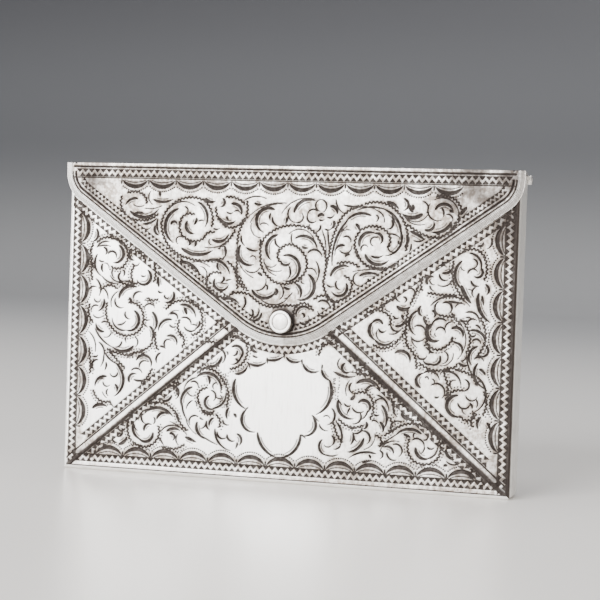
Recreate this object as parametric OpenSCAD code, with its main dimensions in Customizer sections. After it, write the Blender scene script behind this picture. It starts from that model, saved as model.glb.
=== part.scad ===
// Envelope-shaped card case in engraved silver, standing on its bottom edge.
// X runs along the width, the flap faces -Y, +Z is up.
// The origin is the middle of the bottom edge's resting face.

/* [Case] */
// Outside width of the case body
case_w = 92; // [80:0.5:112]
// Overall height, from the table to the top of the lid
case_h = 62.2; // [52:0.1:76]
// Outside thickness of the case body
case_t = 7.5; // [6.5:0.1:12]
// Thickness of the front and back plates
plate_t = 0.6; // [0.5:0.05:0.8]
// Thickness of the edge strips, which is also the radius of their outer corners
edge_t = 0.7; // [0.6:0.05:1]
// Radius of the two bottom corners, seen from the front
corner_r = 1; // [0.4:0.1:2]
// Height of the ridges that stand for the folded seams below the flap
seam_h = 0.12; // [0.05:0.01:0.2]
// Width of those ridges
seam_w = 1.1; // [0.8:0.1:1.6]
// Height of the stiffening lip inside the mouth
lip_h = 3; // [2:0.1:5]
// Thickness of the stiffening lip
lip_t = 0.5; // [0.3:0.05:0.8]

/* [Lid] */
// Thickness of the flap plate and of the top strip
lid_t = 0.6; // [0.5:0.05:0.8]
// How far the flap stands past each side of the body
flap_overhang = 0.75; // [0.4:0.05:1.2]
// Distance from the top of the lid down to the flap's rounded point
flap_drop = 34.9; // [28:0.1:42]
// Distance from the top of the lid down to where the flap's side would meet its end
flap_end_h = 5.4; // [4.6:0.1:8]
// Radius of the flap's rounded point
tip_r = 16.3; // [10:0.1:20]
// Radius where the flap's sides turn up into its short ends
end_r = 6.8; // [3:0.1:8]
// Width of the bevelled rim around the flap
rim_w = 1.3; // [1:0.05:1.8]
// Thickness left at the rim's outer edge
rim_edge_t = 0.2; // [0.1:0.05:0.3]
// Gap between the closed lid and the body
lid_gap = 0.1; // [0.08:0.01:0.2]
// Gap between the flap's edge and the end of a seam ridge
seam_gap = 0.2; // [0.1:0.05:0.5]

/* [Hinge] */
// Outside radius of the hinge tubes
knuckle_r = 0.85; // [0.7:0.05:1.1]
// Radius of the hinge pin
pin_r = 0.4; // [0.3:0.01:0.45]
// Radial clearance of the pin in the tubes
pin_clear = 0.04; // [0.02:0.01:0.08]
// Gap between one hinge tube and the next
knuckle_gap = 0.12; // [0.08:0.01:0.3]
// How far the pin's ends lie inside the end tubes
pin_recess = 0.3; // [0.1:0.05:1]
// Distance from the top of the lid down to the hinge axis
hinge_drop = 1.4; // [1.3:0.05:1.8]
// Clearance of the fixed parts from the hinge tubes
hinge_clear = 0.1; // [0.06:0.01:0.2]
// How far the web of a lid tube reaches under the top strip
web_l = 0.8; // [0.5:0.1:1.2]

/* [Catch] */
// Distance from the flap's point up to the button's axis
button_rise = 4.55; // [4.2:0.05:8]
// Outside radius of the collar around the button
collar_r = 2.2; // [2.1:0.05:2.8]
// Wall of the collar
collar_wall = 0.35; // [0.25:0.05:0.5]
// Width and thickness of the inward lip that keeps the button in
collar_lip = 0.2; // [0.15:0.01:0.3]
// Radial clearance of the button in its collar
button_clear = 0.05; // [0.03:0.01:0.1]
// How far the button's rim lies below the collar's front
button_recess = 0.15; // [0.05:0.05:0.3]
// Thickness of the button's flange
flange_t = 0.3; // [0.2:0.05:0.4]
// Height of the button's crown
button_crown = 0.12; // [0.05:0.01:0.15]
// Travel of the button when it is pressed
button_travel = 0.5; // [0.3:0.05:0.8]
// Space left under the button's flange when it is pressed home
button_gap = 0.3; // [0.2:0.05:0.5]
// Width of the catch hook
hook_w = 1.5; // [1:0.1:1.6]
// Height of the hook's shank
hook_h = 1.2; // [0.8:0.1:1.3]
// How far the hook's lip rises above its shank
hook_lip_h = 0.65; // [0.4:0.05:0.7]
// Clearance around the hook in the flap and in the front plate
hook_clear = 0.15; // [0.08:0.01:0.3]
// Length of the catch spring
spring_l = 15; // [10:0.5:20]
// Width of the catch spring
spring_w = 5; // [4:0.5:8]
// Thickness of the catch spring
spring_t = 0.3; // [0.2:0.05:0.4]
// Gap between the spring's free length and the front plate
spring_gap = 0.1; // [0.05:0.05:0.3]
// Length of the spring's foot, which is riveted to the front plate
foot_l = 4.5; // [3:0.5:6]
// Radius of a rivet's shank
rivet_r = 0.5; // [0.4:0.05:0.7]
// Thickness of a rivet's head
rivet_head_t = 0.25; // [0.2:0.05:0.4]
// Radial clearance of a rivet in its hole
rivet_clear = 0.02; // [0.01:0.01:0.05]

/* [Hidden] */
$fn = 48;

silver = [0.86, 0.85, 0.83];
bright_silver = [0.93, 0.92, 0.9];
dull_silver = [0.7, 0.68, 0.66];
cut = 0.01;                      // how far a cutting shape runs past the face it cuts

half_w = case_w / 2;
half_t = case_t / 2;
body_h = case_h - lid_t - lid_gap;
mid_w = half_w - edge_t;         // half the width of the plates between the edge strips
mid_t = half_t - plate_t;        // half the depth of the card space
mitre_l = 2 * edge_t;            // reach of the cut that mitres the bottom corners

flap_in_y = -half_t - lid_gap;   // inner face of the flap
flap_out_y = flap_in_y - lid_t;  // outer face of the flap
flap_half_w = half_w + flap_overhang;
tip_z = case_h - flap_drop;
tip_centre_z = tip_z + tip_r;
side_corner_z = case_h - flap_end_h;
// The flap's sides touch the arc of its point and run to the two side corners
corner_rise = side_corner_z - tip_centre_z;
flap_angle = asin(tip_r / norm([flap_half_w, corner_rise])) + atan2(corner_rise, flap_half_w);
tip_x = tip_r * sin(flap_angle);
tangent_z = tip_centre_z - tip_r * cos(flap_angle);
end_centre_x = flap_half_w - end_r;
end_centre_z = side_corner_z + end_r * tan((90 - flap_angle) / 2);

hinge_y = half_t;
hinge_z = case_h - hinge_drop;
bore_r = pin_r + pin_clear;
knuckle_count = 5;
hinge_half_l = flap_half_w;
knuckle_l = (2 * hinge_half_l - (knuckle_count - 1) * knuckle_gap) / knuckle_count;
knuckle_pitch = knuckle_l + knuckle_gap;
back_h = hinge_z - knuckle_r - hinge_clear;
// The strip stops short of the tubes by the hinge clearance, measured from the axis
strip_low = case_h - lid_t - hinge_z;
strip_back_y = hinge_y - sqrt(max(0, pow(knuckle_r + hinge_clear, 2) - pow(strip_low, 2)));
strip_round_r = lid_t / 2;
web_front_y = strip_back_y - web_l;

button_z = tip_z + button_rise;
collar_bore_r = collar_r - collar_wall;
collar_front_y = flap_out_y - button_gap - button_travel - flange_t - button_clear - collar_lip;
flange_r = collar_bore_r - button_clear;
face_r = collar_bore_r - collar_lip - button_clear;
flange_front_y = collar_front_y + collar_lip + button_clear;
flange_back_y = flange_front_y + flange_t;
face_y = collar_front_y + button_recess;
// The opening in the flap is as wide as the hook's corners need, with the hook's clearance
hook_top = hook_h / 2 + hook_lip_h;
aperture_r = sqrt(pow(hook_top + hook_clear, 2) + pow(hook_w / 2, 2));
hook_front_y = flange_back_y + button_clear;
hook_lip_back_y = flap_out_y - button_clear;
spring_front_y = -mid_t + spring_gap;
spring_top_z = button_z + spring_l;
rivet_x = spring_w / 4;
rivet_z = spring_top_z - foot_l / 2;

// Points of an arc about (x, z), from one angle to another
function arc(x, z, r, from, to, steps = 12) =
    [for (i = [0 : steps]) let (a = from + (to - from) * i / steps) [x + r * cos(a), z + r * sin(a)]];

// Right half of the flap's outline, inset by a distance, from the point to the top edge
function flap_side(inset) = concat(
    arc(0, tip_centre_z, tip_r - inset, -90, flap_angle - 90),
    arc(end_centre_x, end_centre_z, end_r - inset, flap_angle - 90, 0),
    [[flap_half_w - inset, case_h]]);

// The left half, from the top edge back down, without repeating the point itself
function mirrored(points) =
    [for (i = [len(points) - 1 : -1 : 1]) [-points[i].x, points[i].y]];

// The whole outline, from the top left corner down past the point and up to the top right corner
function flap_outline(inset) = concat(mirrored(flap_side(inset)), flap_side(inset));

// A flat shape drawn in X and Z, made solid from y_front to y_back
module slab(y_front, y_back)
    translate([0, y_back, 0]) rotate([90, 0, 0]) linear_extrude(y_back - y_front) children();

// A cylinder along Y
module y_rod(r, y_front, y_back)
    translate([0, y_back, 0]) rotate([90, 0, 0]) cylinder(r = r, h = y_back - y_front);

// A cylinder along X, from x_from to x_to on the hinge axis
module hinge_rod(r, x_from, x_to)
    translate([x_from, hinge_y, hinge_z]) rotate([0, 90, 0]) cylinder(r = r, h = x_to - x_from);

// Outline of the body with its two rounded bottom corners
module body_outline() {
    translate([-half_w, corner_r]) square([case_w, body_h - corner_r]);
    translate([-half_w + corner_r, 0]) square([case_w - 2 * corner_r, 2 * corner_r]);
    for (side = [-1, 1]) translate([side * (half_w - corner_r), corner_r]) circle(corner_r);
}

// Section of an edge strip: its outer face lies at x = 0 and its two outer corners are round
module edge_section() {
    translate([-edge_t, -half_t + edge_t]) square([edge_t, case_t - 2 * edge_t]);
    for (side = [-1, 1]) intersection() {
        translate([-edge_t, side * (half_t - edge_t)]) circle(edge_t);
        translate([-edge_t, -half_t]) square([edge_t, case_t]);
    }
}

module side_strip(side) difference() {
    intersection() {
        translate([side * half_w, 0, 0]) mirror([side < 0 ? 1 : 0, 0, 0])
            linear_extrude(body_h) edge_section();
        slab(-case_t, case_t) body_outline();
        // Mitre against the bottom strip
        slab(-case_t, case_t) polygon([
            [side * half_w, 0], [side * (half_w - mitre_l), mitre_l],
            [side * (half_w - mitre_l), case_h], [side * case_w, case_h], [side * case_w, 0]]);
    }
    // Notch for the hinge tubes and their webs
    translate([-case_w, web_front_y - hinge_clear, back_h]) cube([2 * case_w, case_t, case_h]);
}

module left_edge_strip() color(silver) side_strip(-1);

module right_edge_strip() color(silver) side_strip(1);

module bottom_edge_strip() color(silver) intersection() {
    translate([-half_w, 0, 0]) rotate([0, 90, 0]) linear_extrude(case_w) edge_section();
    slab(-case_t, case_t) body_outline();
    slab(-case_t, case_t) polygon([[-half_w, 0], [half_w, 0],
        [half_w - mitre_l, mitre_l], [-half_w + mitre_l, mitre_l]]);
}

// The two ridges, from the bottom corners up to the flap's edge
module seam_ridges() difference() {
    intersection() {
        for (side = [0, 1]) mirror([side, 0, 0])
            translate([half_w, -half_t, 0]) rotate([0, -atan2(tangent_z, tip_x - half_w), 0])
            rotate([90, 0, 90]) linear_extrude(norm([half_w - tip_x, tangent_z]))
            polygon([[cut, -seam_w / 2], [0, -seam_w / 2], [-seam_h, 0], [0, seam_w / 2], [cut, seam_w / 2]]);
        translate([-mid_w, -case_t, edge_t]) cube([2 * mid_w, case_t, body_h]);
    }
    slab(-case_t, 0) polygon(flap_outline(-seam_gap));
}

module front_plate() color(silver) difference() {
    union() {
        translate([-mid_w, -half_t, edge_t]) cube([2 * mid_w, plate_t, body_h - edge_t]);
        seam_ridges();
    }
    // Slot for the catch hook
    translate([-hook_w / 2 - hook_clear, -case_t, button_z - hook_h / 2 - hook_clear])
        cube([hook_w + 2 * hook_clear, case_t, hook_h + hook_lip_h + 2 * hook_clear]);
    for (side = [-1, 1]) translate([side * rivet_x, 0, rivet_z])
        y_rod(rivet_r + rivet_clear, -case_t, 0);
}

module back_plate() color(silver)
    translate([-mid_w, mid_t, edge_t]) cube([2 * mid_w, plate_t, back_h - edge_t]);

module front_lip() color(dull_silver)
    translate([-mid_w, -mid_t, body_h - lip_h]) cube([2 * mid_w, lip_t, lip_h]);

// One hinge tube; place counts from the left, 0 to 4
module knuckle_tube(place) difference() {
    x = -hinge_half_l + place * knuckle_pitch;
    union() {
        hinge_rod(knuckle_r, x, x + knuckle_l);
        translate([x, 0, 0]) children();
    }
    hinge_rod(bore_r, x - cut, x + knuckle_l + cut);
}

module body_knuckle(place) knuckle_tube(place)
    translate([0, mid_t, back_h]) cube([knuckle_l, plate_t, hinge_z - back_h]);

// The web reaches forward under the top strip
module lid_knuckle(place) knuckle_tube(place)
    translate([0, web_front_y, hinge_z]) cube([knuckle_l, hinge_y - web_front_y, strip_low]);

module left_lid_knuckle() color(bright_silver) lid_knuckle(0);

module left_body_knuckle() color(silver) body_knuckle(1);

module middle_lid_knuckle() color(bright_silver) lid_knuckle(2);

module right_body_knuckle() color(silver) body_knuckle(3);

module right_lid_knuckle() color(bright_silver) lid_knuckle(4);

module hinge_pin() color(dull_silver)
    hinge_rod(pin_r, -hinge_half_l + pin_recess, hinge_half_l - pin_recess);

module top_strip() color(bright_silver) {
    y_from = flap_in_y;
    round_z = case_h - strip_round_r;
    translate([-half_w, y_from, case_h - lid_t])
        cube([case_w, strip_back_y - strip_round_r - y_from, lid_t]);
    // The rear edge is round
    translate([-half_w, strip_back_y - strip_round_r, round_z]) rotate([0, 90, 0])
        cylinder(r = strip_round_r, h = case_w);
}

module flap_plate() color(silver) difference() {
    slab(flap_out_y, flap_in_y) polygon(flap_outline(rim_w));
    translate([0, 0, button_z]) y_rod(aperture_r, -case_t, 0);
}

// The rim follows the outline: its back is flat and its front slopes up to the flap plate
module flap_rim() color(bright_silver) {
    outer = flap_outline(0);
    inner = flap_outline(rim_w);
    last = len(outer) - 1;
    points = [for (i = [0 : last]) each [
        [outer[i].x, flap_in_y, outer[i].y], [inner[i].x, flap_in_y, inner[i].y],
        [inner[i].x, flap_out_y, inner[i].y], [outer[i].x, flap_in_y - rim_edge_t, outer[i].y]]];
    sides = [for (i = [0 : last - 1], j = [0 : 3])
        let (k = (j + 1) % 4) each [
            [4 * i + k, 4 * i + j, 4 * i + 4 + j], [4 * i + k, 4 * i + 4 + j, 4 * i + 4 + k]]];
    polyhedron(points, concat([[0, 1, 2, 3]], sides, [[for (j = [3 : -1 : 0]) 4 * last + j]]));
}

module button_collar() color(bright_silver) translate([0, 0, button_z]) difference() {
    y_rod(collar_r, collar_front_y, flap_out_y);
    y_rod(collar_bore_r, collar_front_y + collar_lip, flap_out_y + cut);
    y_rod(collar_bore_r - collar_lip, collar_front_y - cut, flap_out_y);
}

// Turned in one piece: a flange behind the collar's lip, and a face with a low crown
module push_button() color(bright_silver) translate([0, 0, button_z]) rotate([90, 0, 0]) {
    crown_r = (face_r * face_r + button_crown * button_crown) / (2 * button_crown);
    crown_from = acos(face_r / crown_r);
    rotate_extrude() polygon(concat(
        [[0, -flange_back_y], [flange_r, -flange_back_y], [flange_r, -flange_front_y],
            [face_r, -flange_front_y]],
        arc(0, button_crown - crown_r - face_y, crown_r, crown_from, 90)));
}

module catch_hook() color(dull_silver) translate([-hook_w / 2, 0, button_z - hook_h / 2]) {
    translate([0, hook_front_y, 0]) cube([hook_w, spring_front_y - hook_front_y, hook_h]);
    translate([0, hook_front_y, 0])
        cube([hook_w, hook_lip_back_y - hook_front_y, hook_h + hook_lip_h]);
}

// The spring's free blade stands a little off the front plate, and its foot is riveted to it
module catch_spring() color(dull_silver) difference() {
    low_z = button_z - hook_h / 2;
    union() {
        translate([-spring_w / 2, spring_front_y, low_z])
            cube([spring_w, spring_t, spring_top_z - low_z]);
        translate([-spring_w / 2, -mid_t, spring_top_z - foot_l])
            cube([spring_w, spring_gap + spring_t, foot_l]);
    }
    for (side = [-1, 1]) translate([side * rivet_x, 0, rivet_z])
        y_rod(rivet_r + rivet_clear, -case_t, 0);
}

module spring_rivets() color(silver) {
    head_y = spring_front_y + spring_t;
    for (side = [-1, 1]) translate([side * rivet_x, 0, rivet_z]) {
        y_rod(rivet_r, -half_t, head_y);
        y_rod(2 * rivet_r, head_y, head_y + rivet_head_t);
    }
}

front_plate();
back_plate();
left_edge_strip();
right_edge_strip();
bottom_edge_strip();
front_lip();
left_body_knuckle();
right_body_knuckle();
hinge_pin();
catch_spring();
spring_rivets();
catch_hook();
flap_plate();
flap_rim();
top_strip();
left_lid_knuckle();
middle_lid_knuckle();
right_lid_knuckle();
button_collar();
push_button();
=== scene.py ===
"""An envelope-shaped card case in engraved silver.

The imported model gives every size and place. This script cuts the ornament into the three sheets, draws
the reeded rim, turns the button and its collar, gives each part its finish, and sets the case on a pale
table in soft light. Lengths in the engraving are in millimetres, with x to the right and z up, and the
Blender objects are in metres.
"""

import math

import bmesh
import bpy
import numpy as np
from bpy.props import FloatProperty, FloatVectorProperty, PointerProperty
from mathutils import Matrix, Vector


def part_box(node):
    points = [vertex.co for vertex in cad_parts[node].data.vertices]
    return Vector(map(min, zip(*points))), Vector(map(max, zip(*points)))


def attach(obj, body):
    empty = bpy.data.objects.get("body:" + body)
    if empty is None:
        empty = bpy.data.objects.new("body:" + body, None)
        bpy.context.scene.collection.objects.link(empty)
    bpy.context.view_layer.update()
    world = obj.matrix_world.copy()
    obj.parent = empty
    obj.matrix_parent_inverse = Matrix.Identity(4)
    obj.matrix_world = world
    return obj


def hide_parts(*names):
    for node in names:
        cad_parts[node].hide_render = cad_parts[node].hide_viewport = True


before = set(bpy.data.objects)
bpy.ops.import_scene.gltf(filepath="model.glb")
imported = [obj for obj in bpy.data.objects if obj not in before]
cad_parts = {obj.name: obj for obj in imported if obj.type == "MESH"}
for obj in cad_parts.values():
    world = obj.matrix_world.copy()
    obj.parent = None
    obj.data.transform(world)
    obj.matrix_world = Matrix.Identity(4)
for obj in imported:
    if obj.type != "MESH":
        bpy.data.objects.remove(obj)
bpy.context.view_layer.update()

bl_info = {
    "name": "Engraved Card Case",
    "version": (1, 0, 0),
    "blender": (4, 5, 0),
    "location": "View3D > Sidebar > Card Case",
    "description": "Engraves and finishes an envelope-shaped silver card case",
    "category": "Add Mesh",
}

MM = 0.001


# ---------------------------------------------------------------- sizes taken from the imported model


def corners(node):
    """The lowest and highest corner of a CAD node, in millimetres."""
    low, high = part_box(node)
    return np.array(low) / MM, np.array(high) / MM


RIM_LOW, RIM_HIGH = corners("flap_rim")
FLAP_LOW, FLAP_HIGH = corners("flap_plate")
FRONT_LOW, FRONT_HIGH = corners("front_plate")
BACK_LOW, BACK_HIGH = corners("back_plate")
BUTTON_LOW, BUTTON_HIGH = corners("push_button")
COLLAR_LOW, COLLAR_HIGH = corners("button_collar")
HOOK_LOW, HOOK_HIGH = corners("catch_hook")
CASE_HALF = corners("right_edge_strip")[1][0]
LID_TOP = RIM_HIGH[2]
RIM_WIDTH = FLAP_LOW[2] - RIM_LOW[2]
BUTTON_Z = (BUTTON_LOW[2] + BUTTON_HIGH[2]) / 2


# ---------------------------------------------------------------- properties


class CaseSizes(bpy.types.PropertyGroup):
    """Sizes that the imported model's boxes don't give, in millimetres"""

    point_radius: FloatProperty(
        name="Point radius", description="Radius of the flap's rounded point", default=16.3)
    end_radius: FloatProperty(name="End radius", description="Radius of the flap's two ends", default=6.8)
    end_height: FloatProperty(
        name="End height", description="From the lid's top to the flap's side corners", default=5.4)
    rim_edge: FloatProperty(
        name="Rim edge", description="Thickness of the rim at its outer edge", default=0.2)
    seam_width: FloatProperty(name="Seam width", description="Width of the two seam ridges", default=1.1)
    plate: FloatProperty(name="Plate", description="Thickness of the front and back sheets", default=0.6)
    hook_clear: FloatProperty(
        name="Hook clearance", description="Gap around the hook in both sheets", default=0.15)
    front_grid: FloatProperty(
        name="Front grid", description="Spacing of the front's surface points", default=0.1)
    back_grid: FloatProperty(
        name="Back grid", description="Spacing of the back's surface points", default=0.2)


class CaseColours(bpy.types.PropertyGroup):
    """Colours of the silver, of what has settled in it, and of the painted shade"""

    silver: FloatVectorProperty(
        name="Silver", description="Clean silver", subtype="COLOR", default=(0.95, 0.935, 0.905))
    # The warm colour also tints painted shade carried in grime, such as the ground growing darker to the right
    # and the rim's right half
    warm: FloatVectorProperty(
        name="Warm tarnish", description="Thin tarnish between the cuts", subtype="COLOR",
        default=(0.32, 0.275, 0.235))
    # The dark colour also fills painted shade: the front's right and lower edges, the seam crests, the right
    # edge strip's front, the crescent under the button's lip and the flap's upper ends
    dark: FloatVectorProperty(
        name="Dark tarnish", description="Tarnish in the deepest cuts", subtype="COLOR",
        default=(0.05, 0.041, 0.037))
    gilt: FloatVectorProperty(
        name="Gilt", description="Worn gilding inside the mouth", subtype="COLOR", default=(0.83, 0.66, 0.38))


def sizes():
    return bpy.context.scene.card_case_sizes


def colours():
    return bpy.context.scene.card_case_colours


# ---------------------------------------------------------------- the flap's outline


class FlapOutline:
    """The lid's front outline: a rounded point, two straight sides, two round ends, and the lid's top."""

    def __init__(self):
        size = sizes()
        self.half = RIM_HIGH[0]
        self.tip_r = size.point_radius
        self.end_r = size.end_radius
        self.tip = np.array([0.0, RIM_LOW[2] + self.tip_r])
        rise = LID_TOP - size.end_height - self.tip[1]
        reach = math.hypot(self.half, rise)
        self.angle = math.asin(self.tip_r / reach) + math.atan2(rise, self.half)
        corner_z = LID_TOP - size.end_height
        self.end = np.array([self.half - self.end_r,
                             corner_z + self.end_r * math.tan((math.pi / 2 - self.angle) / 2)])
        self.out = np.array([math.sin(self.angle), -math.cos(self.angle)])
        self.touch = self.tip + self.tip_r * self.out

    def inside(self, x, z):
        """How far points lie inside the outline, leaving the straight top out. It is negative outside."""
        x = np.abs(x)
        side = self.tip_r - (x * self.out[0] + (z - self.tip[1]) * self.out[1])
        reach = np.minimum(side, self.half - x)
        tip_turn = np.arctan2(x, self.tip[1] - z)
        tip = self.tip_r - np.hypot(x, z - self.tip[1])
        reach = np.where((z < self.tip[1]) & (tip_turn < self.angle), tip, reach)
        end_turn = np.arctan2(z - self.end[1], x - self.end[0])
        end = self.end_r - np.hypot(x - self.end[0], z - self.end[1])
        in_end = (end_turn < 0) & (end_turn > self.angle - math.pi / 2)
        return np.where(in_end, end, reach)

    def side_shares(self, spacing):
        """Even steps along a straight side, without its ends."""
        start, stop = self.touch, self.end + self.end_r * self.out
        return np.linspace(0, 1, int(np.hypot(*(stop - start)) / spacing) + 2)[1:-1]

    def path(self, inset, spacing=0.5):
        """Points along the outline at an inset, from the top left down past the point to the top right."""
        tip_r, end_r = self.tip_r - inset, self.end_r - inset
        tip_turns = np.linspace(0, self.angle, int(self.tip_r * self.angle / spacing))
        tip_arc = self.tip + tip_r * np.stack([np.sin(tip_turns), -np.cos(tip_turns)], 1)
        end_turns = np.linspace(self.angle - math.pi / 2, 0, int(self.end_r / spacing))
        end_arc = self.end + end_r * np.stack([np.cos(end_turns), np.sin(end_turns)], 1)
        top = np.array([[self.half - inset, LID_TOP]])
        side = tip_arc[-1] + (end_arc[0] - tip_arc[-1]) * self.side_shares(spacing)[:, None]
        right = np.concatenate([tip_arc, side, end_arc, top])
        left = right[:0:-1] * [-1, 1]
        return np.concatenate([left, right])


# ---------------------------------------------------------------- paths for the graver


def line(start, stop, spacing=0.06):
    start, stop = np.array(start, float), np.array(stop, float)
    steps = max(1, int(math.ceil(np.hypot(*(stop - start)) / spacing)))
    return start + (stop - start) * np.linspace(0, 1, steps + 1)[:, None]


def turn(centre, radius, start, stop, spacing=0.06):
    """Points on an arc, from one angle to another in degrees."""
    length = abs(math.radians(stop - start)) * radius
    share = np.linspace(0, 1, max(3, int(length / spacing) + 1))
    angle = np.radians(start + (stop - start) * share)
    return np.array(centre, float) + radius * np.stack([np.cos(angle), np.sin(angle)], 1)


def bow(a, b, c, spacing=0.06):
    """Points on the arc that starts at a, passes b and ends at c."""
    a, b, c = (np.array(p, float) for p in (a, b, c))
    ab, ac = b - a, c - a
    cross = 2 * (ab[0] * ac[1] - ab[1] * ac[0])
    if abs(cross) < 0.02 * np.hypot(*ac) ** 2:
        return line(a, c, spacing)
    near, far = ab @ ab, ac @ ac
    centre = a + np.array([ac[1] * near - ab[1] * far, ab[0] * far - ac[0] * near]) / cross
    start, stop = (math.atan2(*(p - centre)[::-1]) for p in (a, c))
    way = (stop - start) % (2 * math.pi)
    if cross < 0:
        way -= 2 * math.pi
    radius = float(np.hypot(*(a - centre)))
    return turn(centre, radius, math.degrees(start), math.degrees(start + way), spacing)


def normals(path):
    """Unit vectors to the left of the way along a path."""
    way = np.gradient(path, axis=0)
    way /= np.maximum(np.hypot(way[:, 0], way[:, 1]), 1e-9)[:, None]
    return np.stack([-way[:, 1], way[:, 0]], 1)


def beside(path, offset):
    return path + normals(path) * offset


def spaced(path, pitch):
    """Evenly spaced points on a path, as near to the pitch as fits, with their normals."""
    step = np.hypot(*np.diff(path, axis=0).T)
    run = np.concatenate([[0], np.cumsum(step)])
    count = max(2, int(round(run[-1] / pitch)) + 1)
    at = np.linspace(0, run[-1], count)
    points = np.stack([np.interp(at, run, path[:, i]) for i in (0, 1)], 1)
    return points, normals(points)


# ---------------------------------------------------------------- the graver


class Graver:
    """Collects cuts and presses them into a sheet's grid of depths."""

    deepest = 0.26

    def __init__(self):
        self.marks = []
        self.teeth = []

    def cut(self, path, width, shape="leaf", lean=0.35, ink=4.0):
        """A groove along a path. A leaf tapers from a blunt start, a swell tapers both ways, a line is even."""
        share = np.linspace(0, 1, len(path))
        half = width / 2 * {
            "leaf": np.sin(np.pi * share ** 0.7) ** 0.5,
            "swell": np.sin(np.pi * share) ** 0.65,
            "line": np.ones_like(share),
        }[shape]
        half = np.maximum(half, 0.1)
        apex = normals(path) * (half * lean)[:, None] if lean else np.zeros_like(path)
        deep = np.minimum(half * 1.05, self.deepest)
        self.marks.append(np.column_stack([path, half, apex, deep, np.full(len(path), ink)]))

    def dots(self, points, width, ink=3.5):
        half = np.full(len(points), width / 2)
        nothing = np.zeros((len(points), 2))
        self.marks.append(np.column_stack([points, half, nothing, half, np.full(len(points), ink)]))

    def saw(self, points, ways, base, height):
        """A row of triangles that stand at points and lean along unit vectors."""
        count = len(points)
        self.teeth.append(np.column_stack([points, ways, np.full(count, base / 2), np.full(count, height)]))

    def press(self, grid):
        """The depth and the darkness at each point of a grid, from all the marks."""
        gx, gz = grid
        frame_of = gx[0, 0], gz[0, 0], gx[0, 1] - gx[0, 0], gx.shape
        depths, inks = np.zeros(gx.shape), np.zeros(gx.shape)
        marks = np.concatenate(self.marks)
        x, z, half, apex_x, apex_z, deep, ink = marks.T
        for kept, spot, qx, qz in around(x, z, half.max(), *frame_of):
            # Depth falls in straight lines from the apex to the groove's edge
            qx, qz = qx - apex_x, qz - apex_z
            room = half * half - apex_x * apex_x - apex_z * apex_z
            lean = qx * apex_x + qz * apex_z
            fall = (lean + np.sqrt(np.maximum(lean * lean + room * (qx * qx + qz * qz), 0))) / room
            kept = kept & (fall < 1)
            spot = tuple(s[kept] for s in spot)
            np.maximum.at(depths, spot, (deep * (1 - fall))[kept])
            np.maximum.at(inks, spot, np.minimum(1, ink * (1 - fall))[kept])
        if self.teeth:
            x, z, way_x, way_z, half, height = np.concatenate(self.teeth).T
            for kept, spot, qx, qz in around(x, z, max(half.max(), height.max()) + 0.1, *frame_of):
                rise = qx * way_x + qz * way_z
                room = np.minimum(rise, (1 - rise / height) * half - np.abs(qz * way_x - qx * way_z)) + 0.05
                kept = kept & (room > 0)
                spot = tuple(s[kept] for s in spot)
                np.maximum.at(depths, spot, np.minimum(1.2 * room, 0.18)[kept])
                np.maximum.at(inks, spot, np.minimum(1, 9 * room)[kept])
        return depths, inks


def around(x, z, reach, x_from, z_from, step, shape):
    """For each grid offset near some marks: which marks have a point there, that point, and the way to it."""
    steps = int(math.ceil(reach / step)) + 1
    column = np.rint((x - x_from) / step).astype(int)
    row = np.rint((z - z_from) / step).astype(int)
    for across in range(-steps, steps + 1):
        for up in range(-steps, steps + 1):
            c, r = column + across, row + up
            kept = (c >= 0) & (c < shape[1]) & (r >= 0) & (r < shape[0])
            yield kept, (r, c), x_from + c * step - x, z_from + r * step - z


def zigzag(graver, path, width=1.5, pitch=1.28, tooth=0.74):
    """A bright zigzag ribbon between two rows of dark triangles that point into it."""
    points, out = spaced(path, pitch)
    graver.saw(points + out * width / 2, -out, pitch, tooth)
    middle, way = (points[1:] + points[:-1]) / 2, (out[1:] + out[:-1]) / 2
    graver.saw(middle - way * width / 2, way, pitch, tooth)


def shifted(path, by):
    """The path with a length cut off its start."""
    step = np.hypot(*np.diff(path, axis=0).T)
    run = np.concatenate([[0], np.cumsum(step)])
    return path[run >= by]


def swags(graver, ends, sag, width=0.95, beads=0.95):
    """A row of dark crescents between points, each sagging by a vector, beads below and shading above."""
    sag = np.array(sag, float)
    out = sag / np.hypot(*sag)
    for a, b in zip(ends[:-1], ends[1:]):
        a, b = np.array(a, float), np.array(b, float)
        inset = (b - a) * 0.04
        side = 1 if (b - a)[0] * sag[1] - (b - a)[1] * sag[0] > 0 else -1
        graver.cut(bow(a + inset, (a + b) / 2 + sag, b - inset), width, "swell", 0.5 * side)
        graver.cut(bow(a + 3 * inset, (a + b) / 2 + sag * 0.35, b - 3 * inset), 0.22, "swell", 0, 2.0)
        bead, _ = spaced(bow(a + out * beads, (a + b) / 2 + sag + out * beads, b + out * beads), 0.47)
        graver.dots(bead[1:-1], 0.38)
        graver.cut(line(a + out * 0.8, a - out * 0.1), 0.35, "leaf", 0)


# ---------------------------------------------------------------- leaves


def outward(path, a, b, c):
    """The path's normals, turned to the side that its arc bulges to."""
    out = normals(path)
    bulge = np.array(b) - (np.array(a) + c) / 2
    return out if out[len(out) // 2] @ bulge > 0 else -out


def leaves(graver, cuts):
    """Leaf cuts, the wider ones with fine shading lines inside their bend."""
    for *spots, width in cuts:
        a, b, c = spots[:2], spots[2:4], spots[4:]
        path = bow(a, b, c)
        graver.cut(path, width * 1.3)
        if width >= 0.45 and len(path) > 20:
            part = slice(len(path) // 6, -len(path) // 5)
            inside = path[part] - outward(path, a, b, c)[part] * (width * 0.65 + 0.22)
            graver.cut(inside, 0.2, "swell", 0, 1.3)


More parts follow.
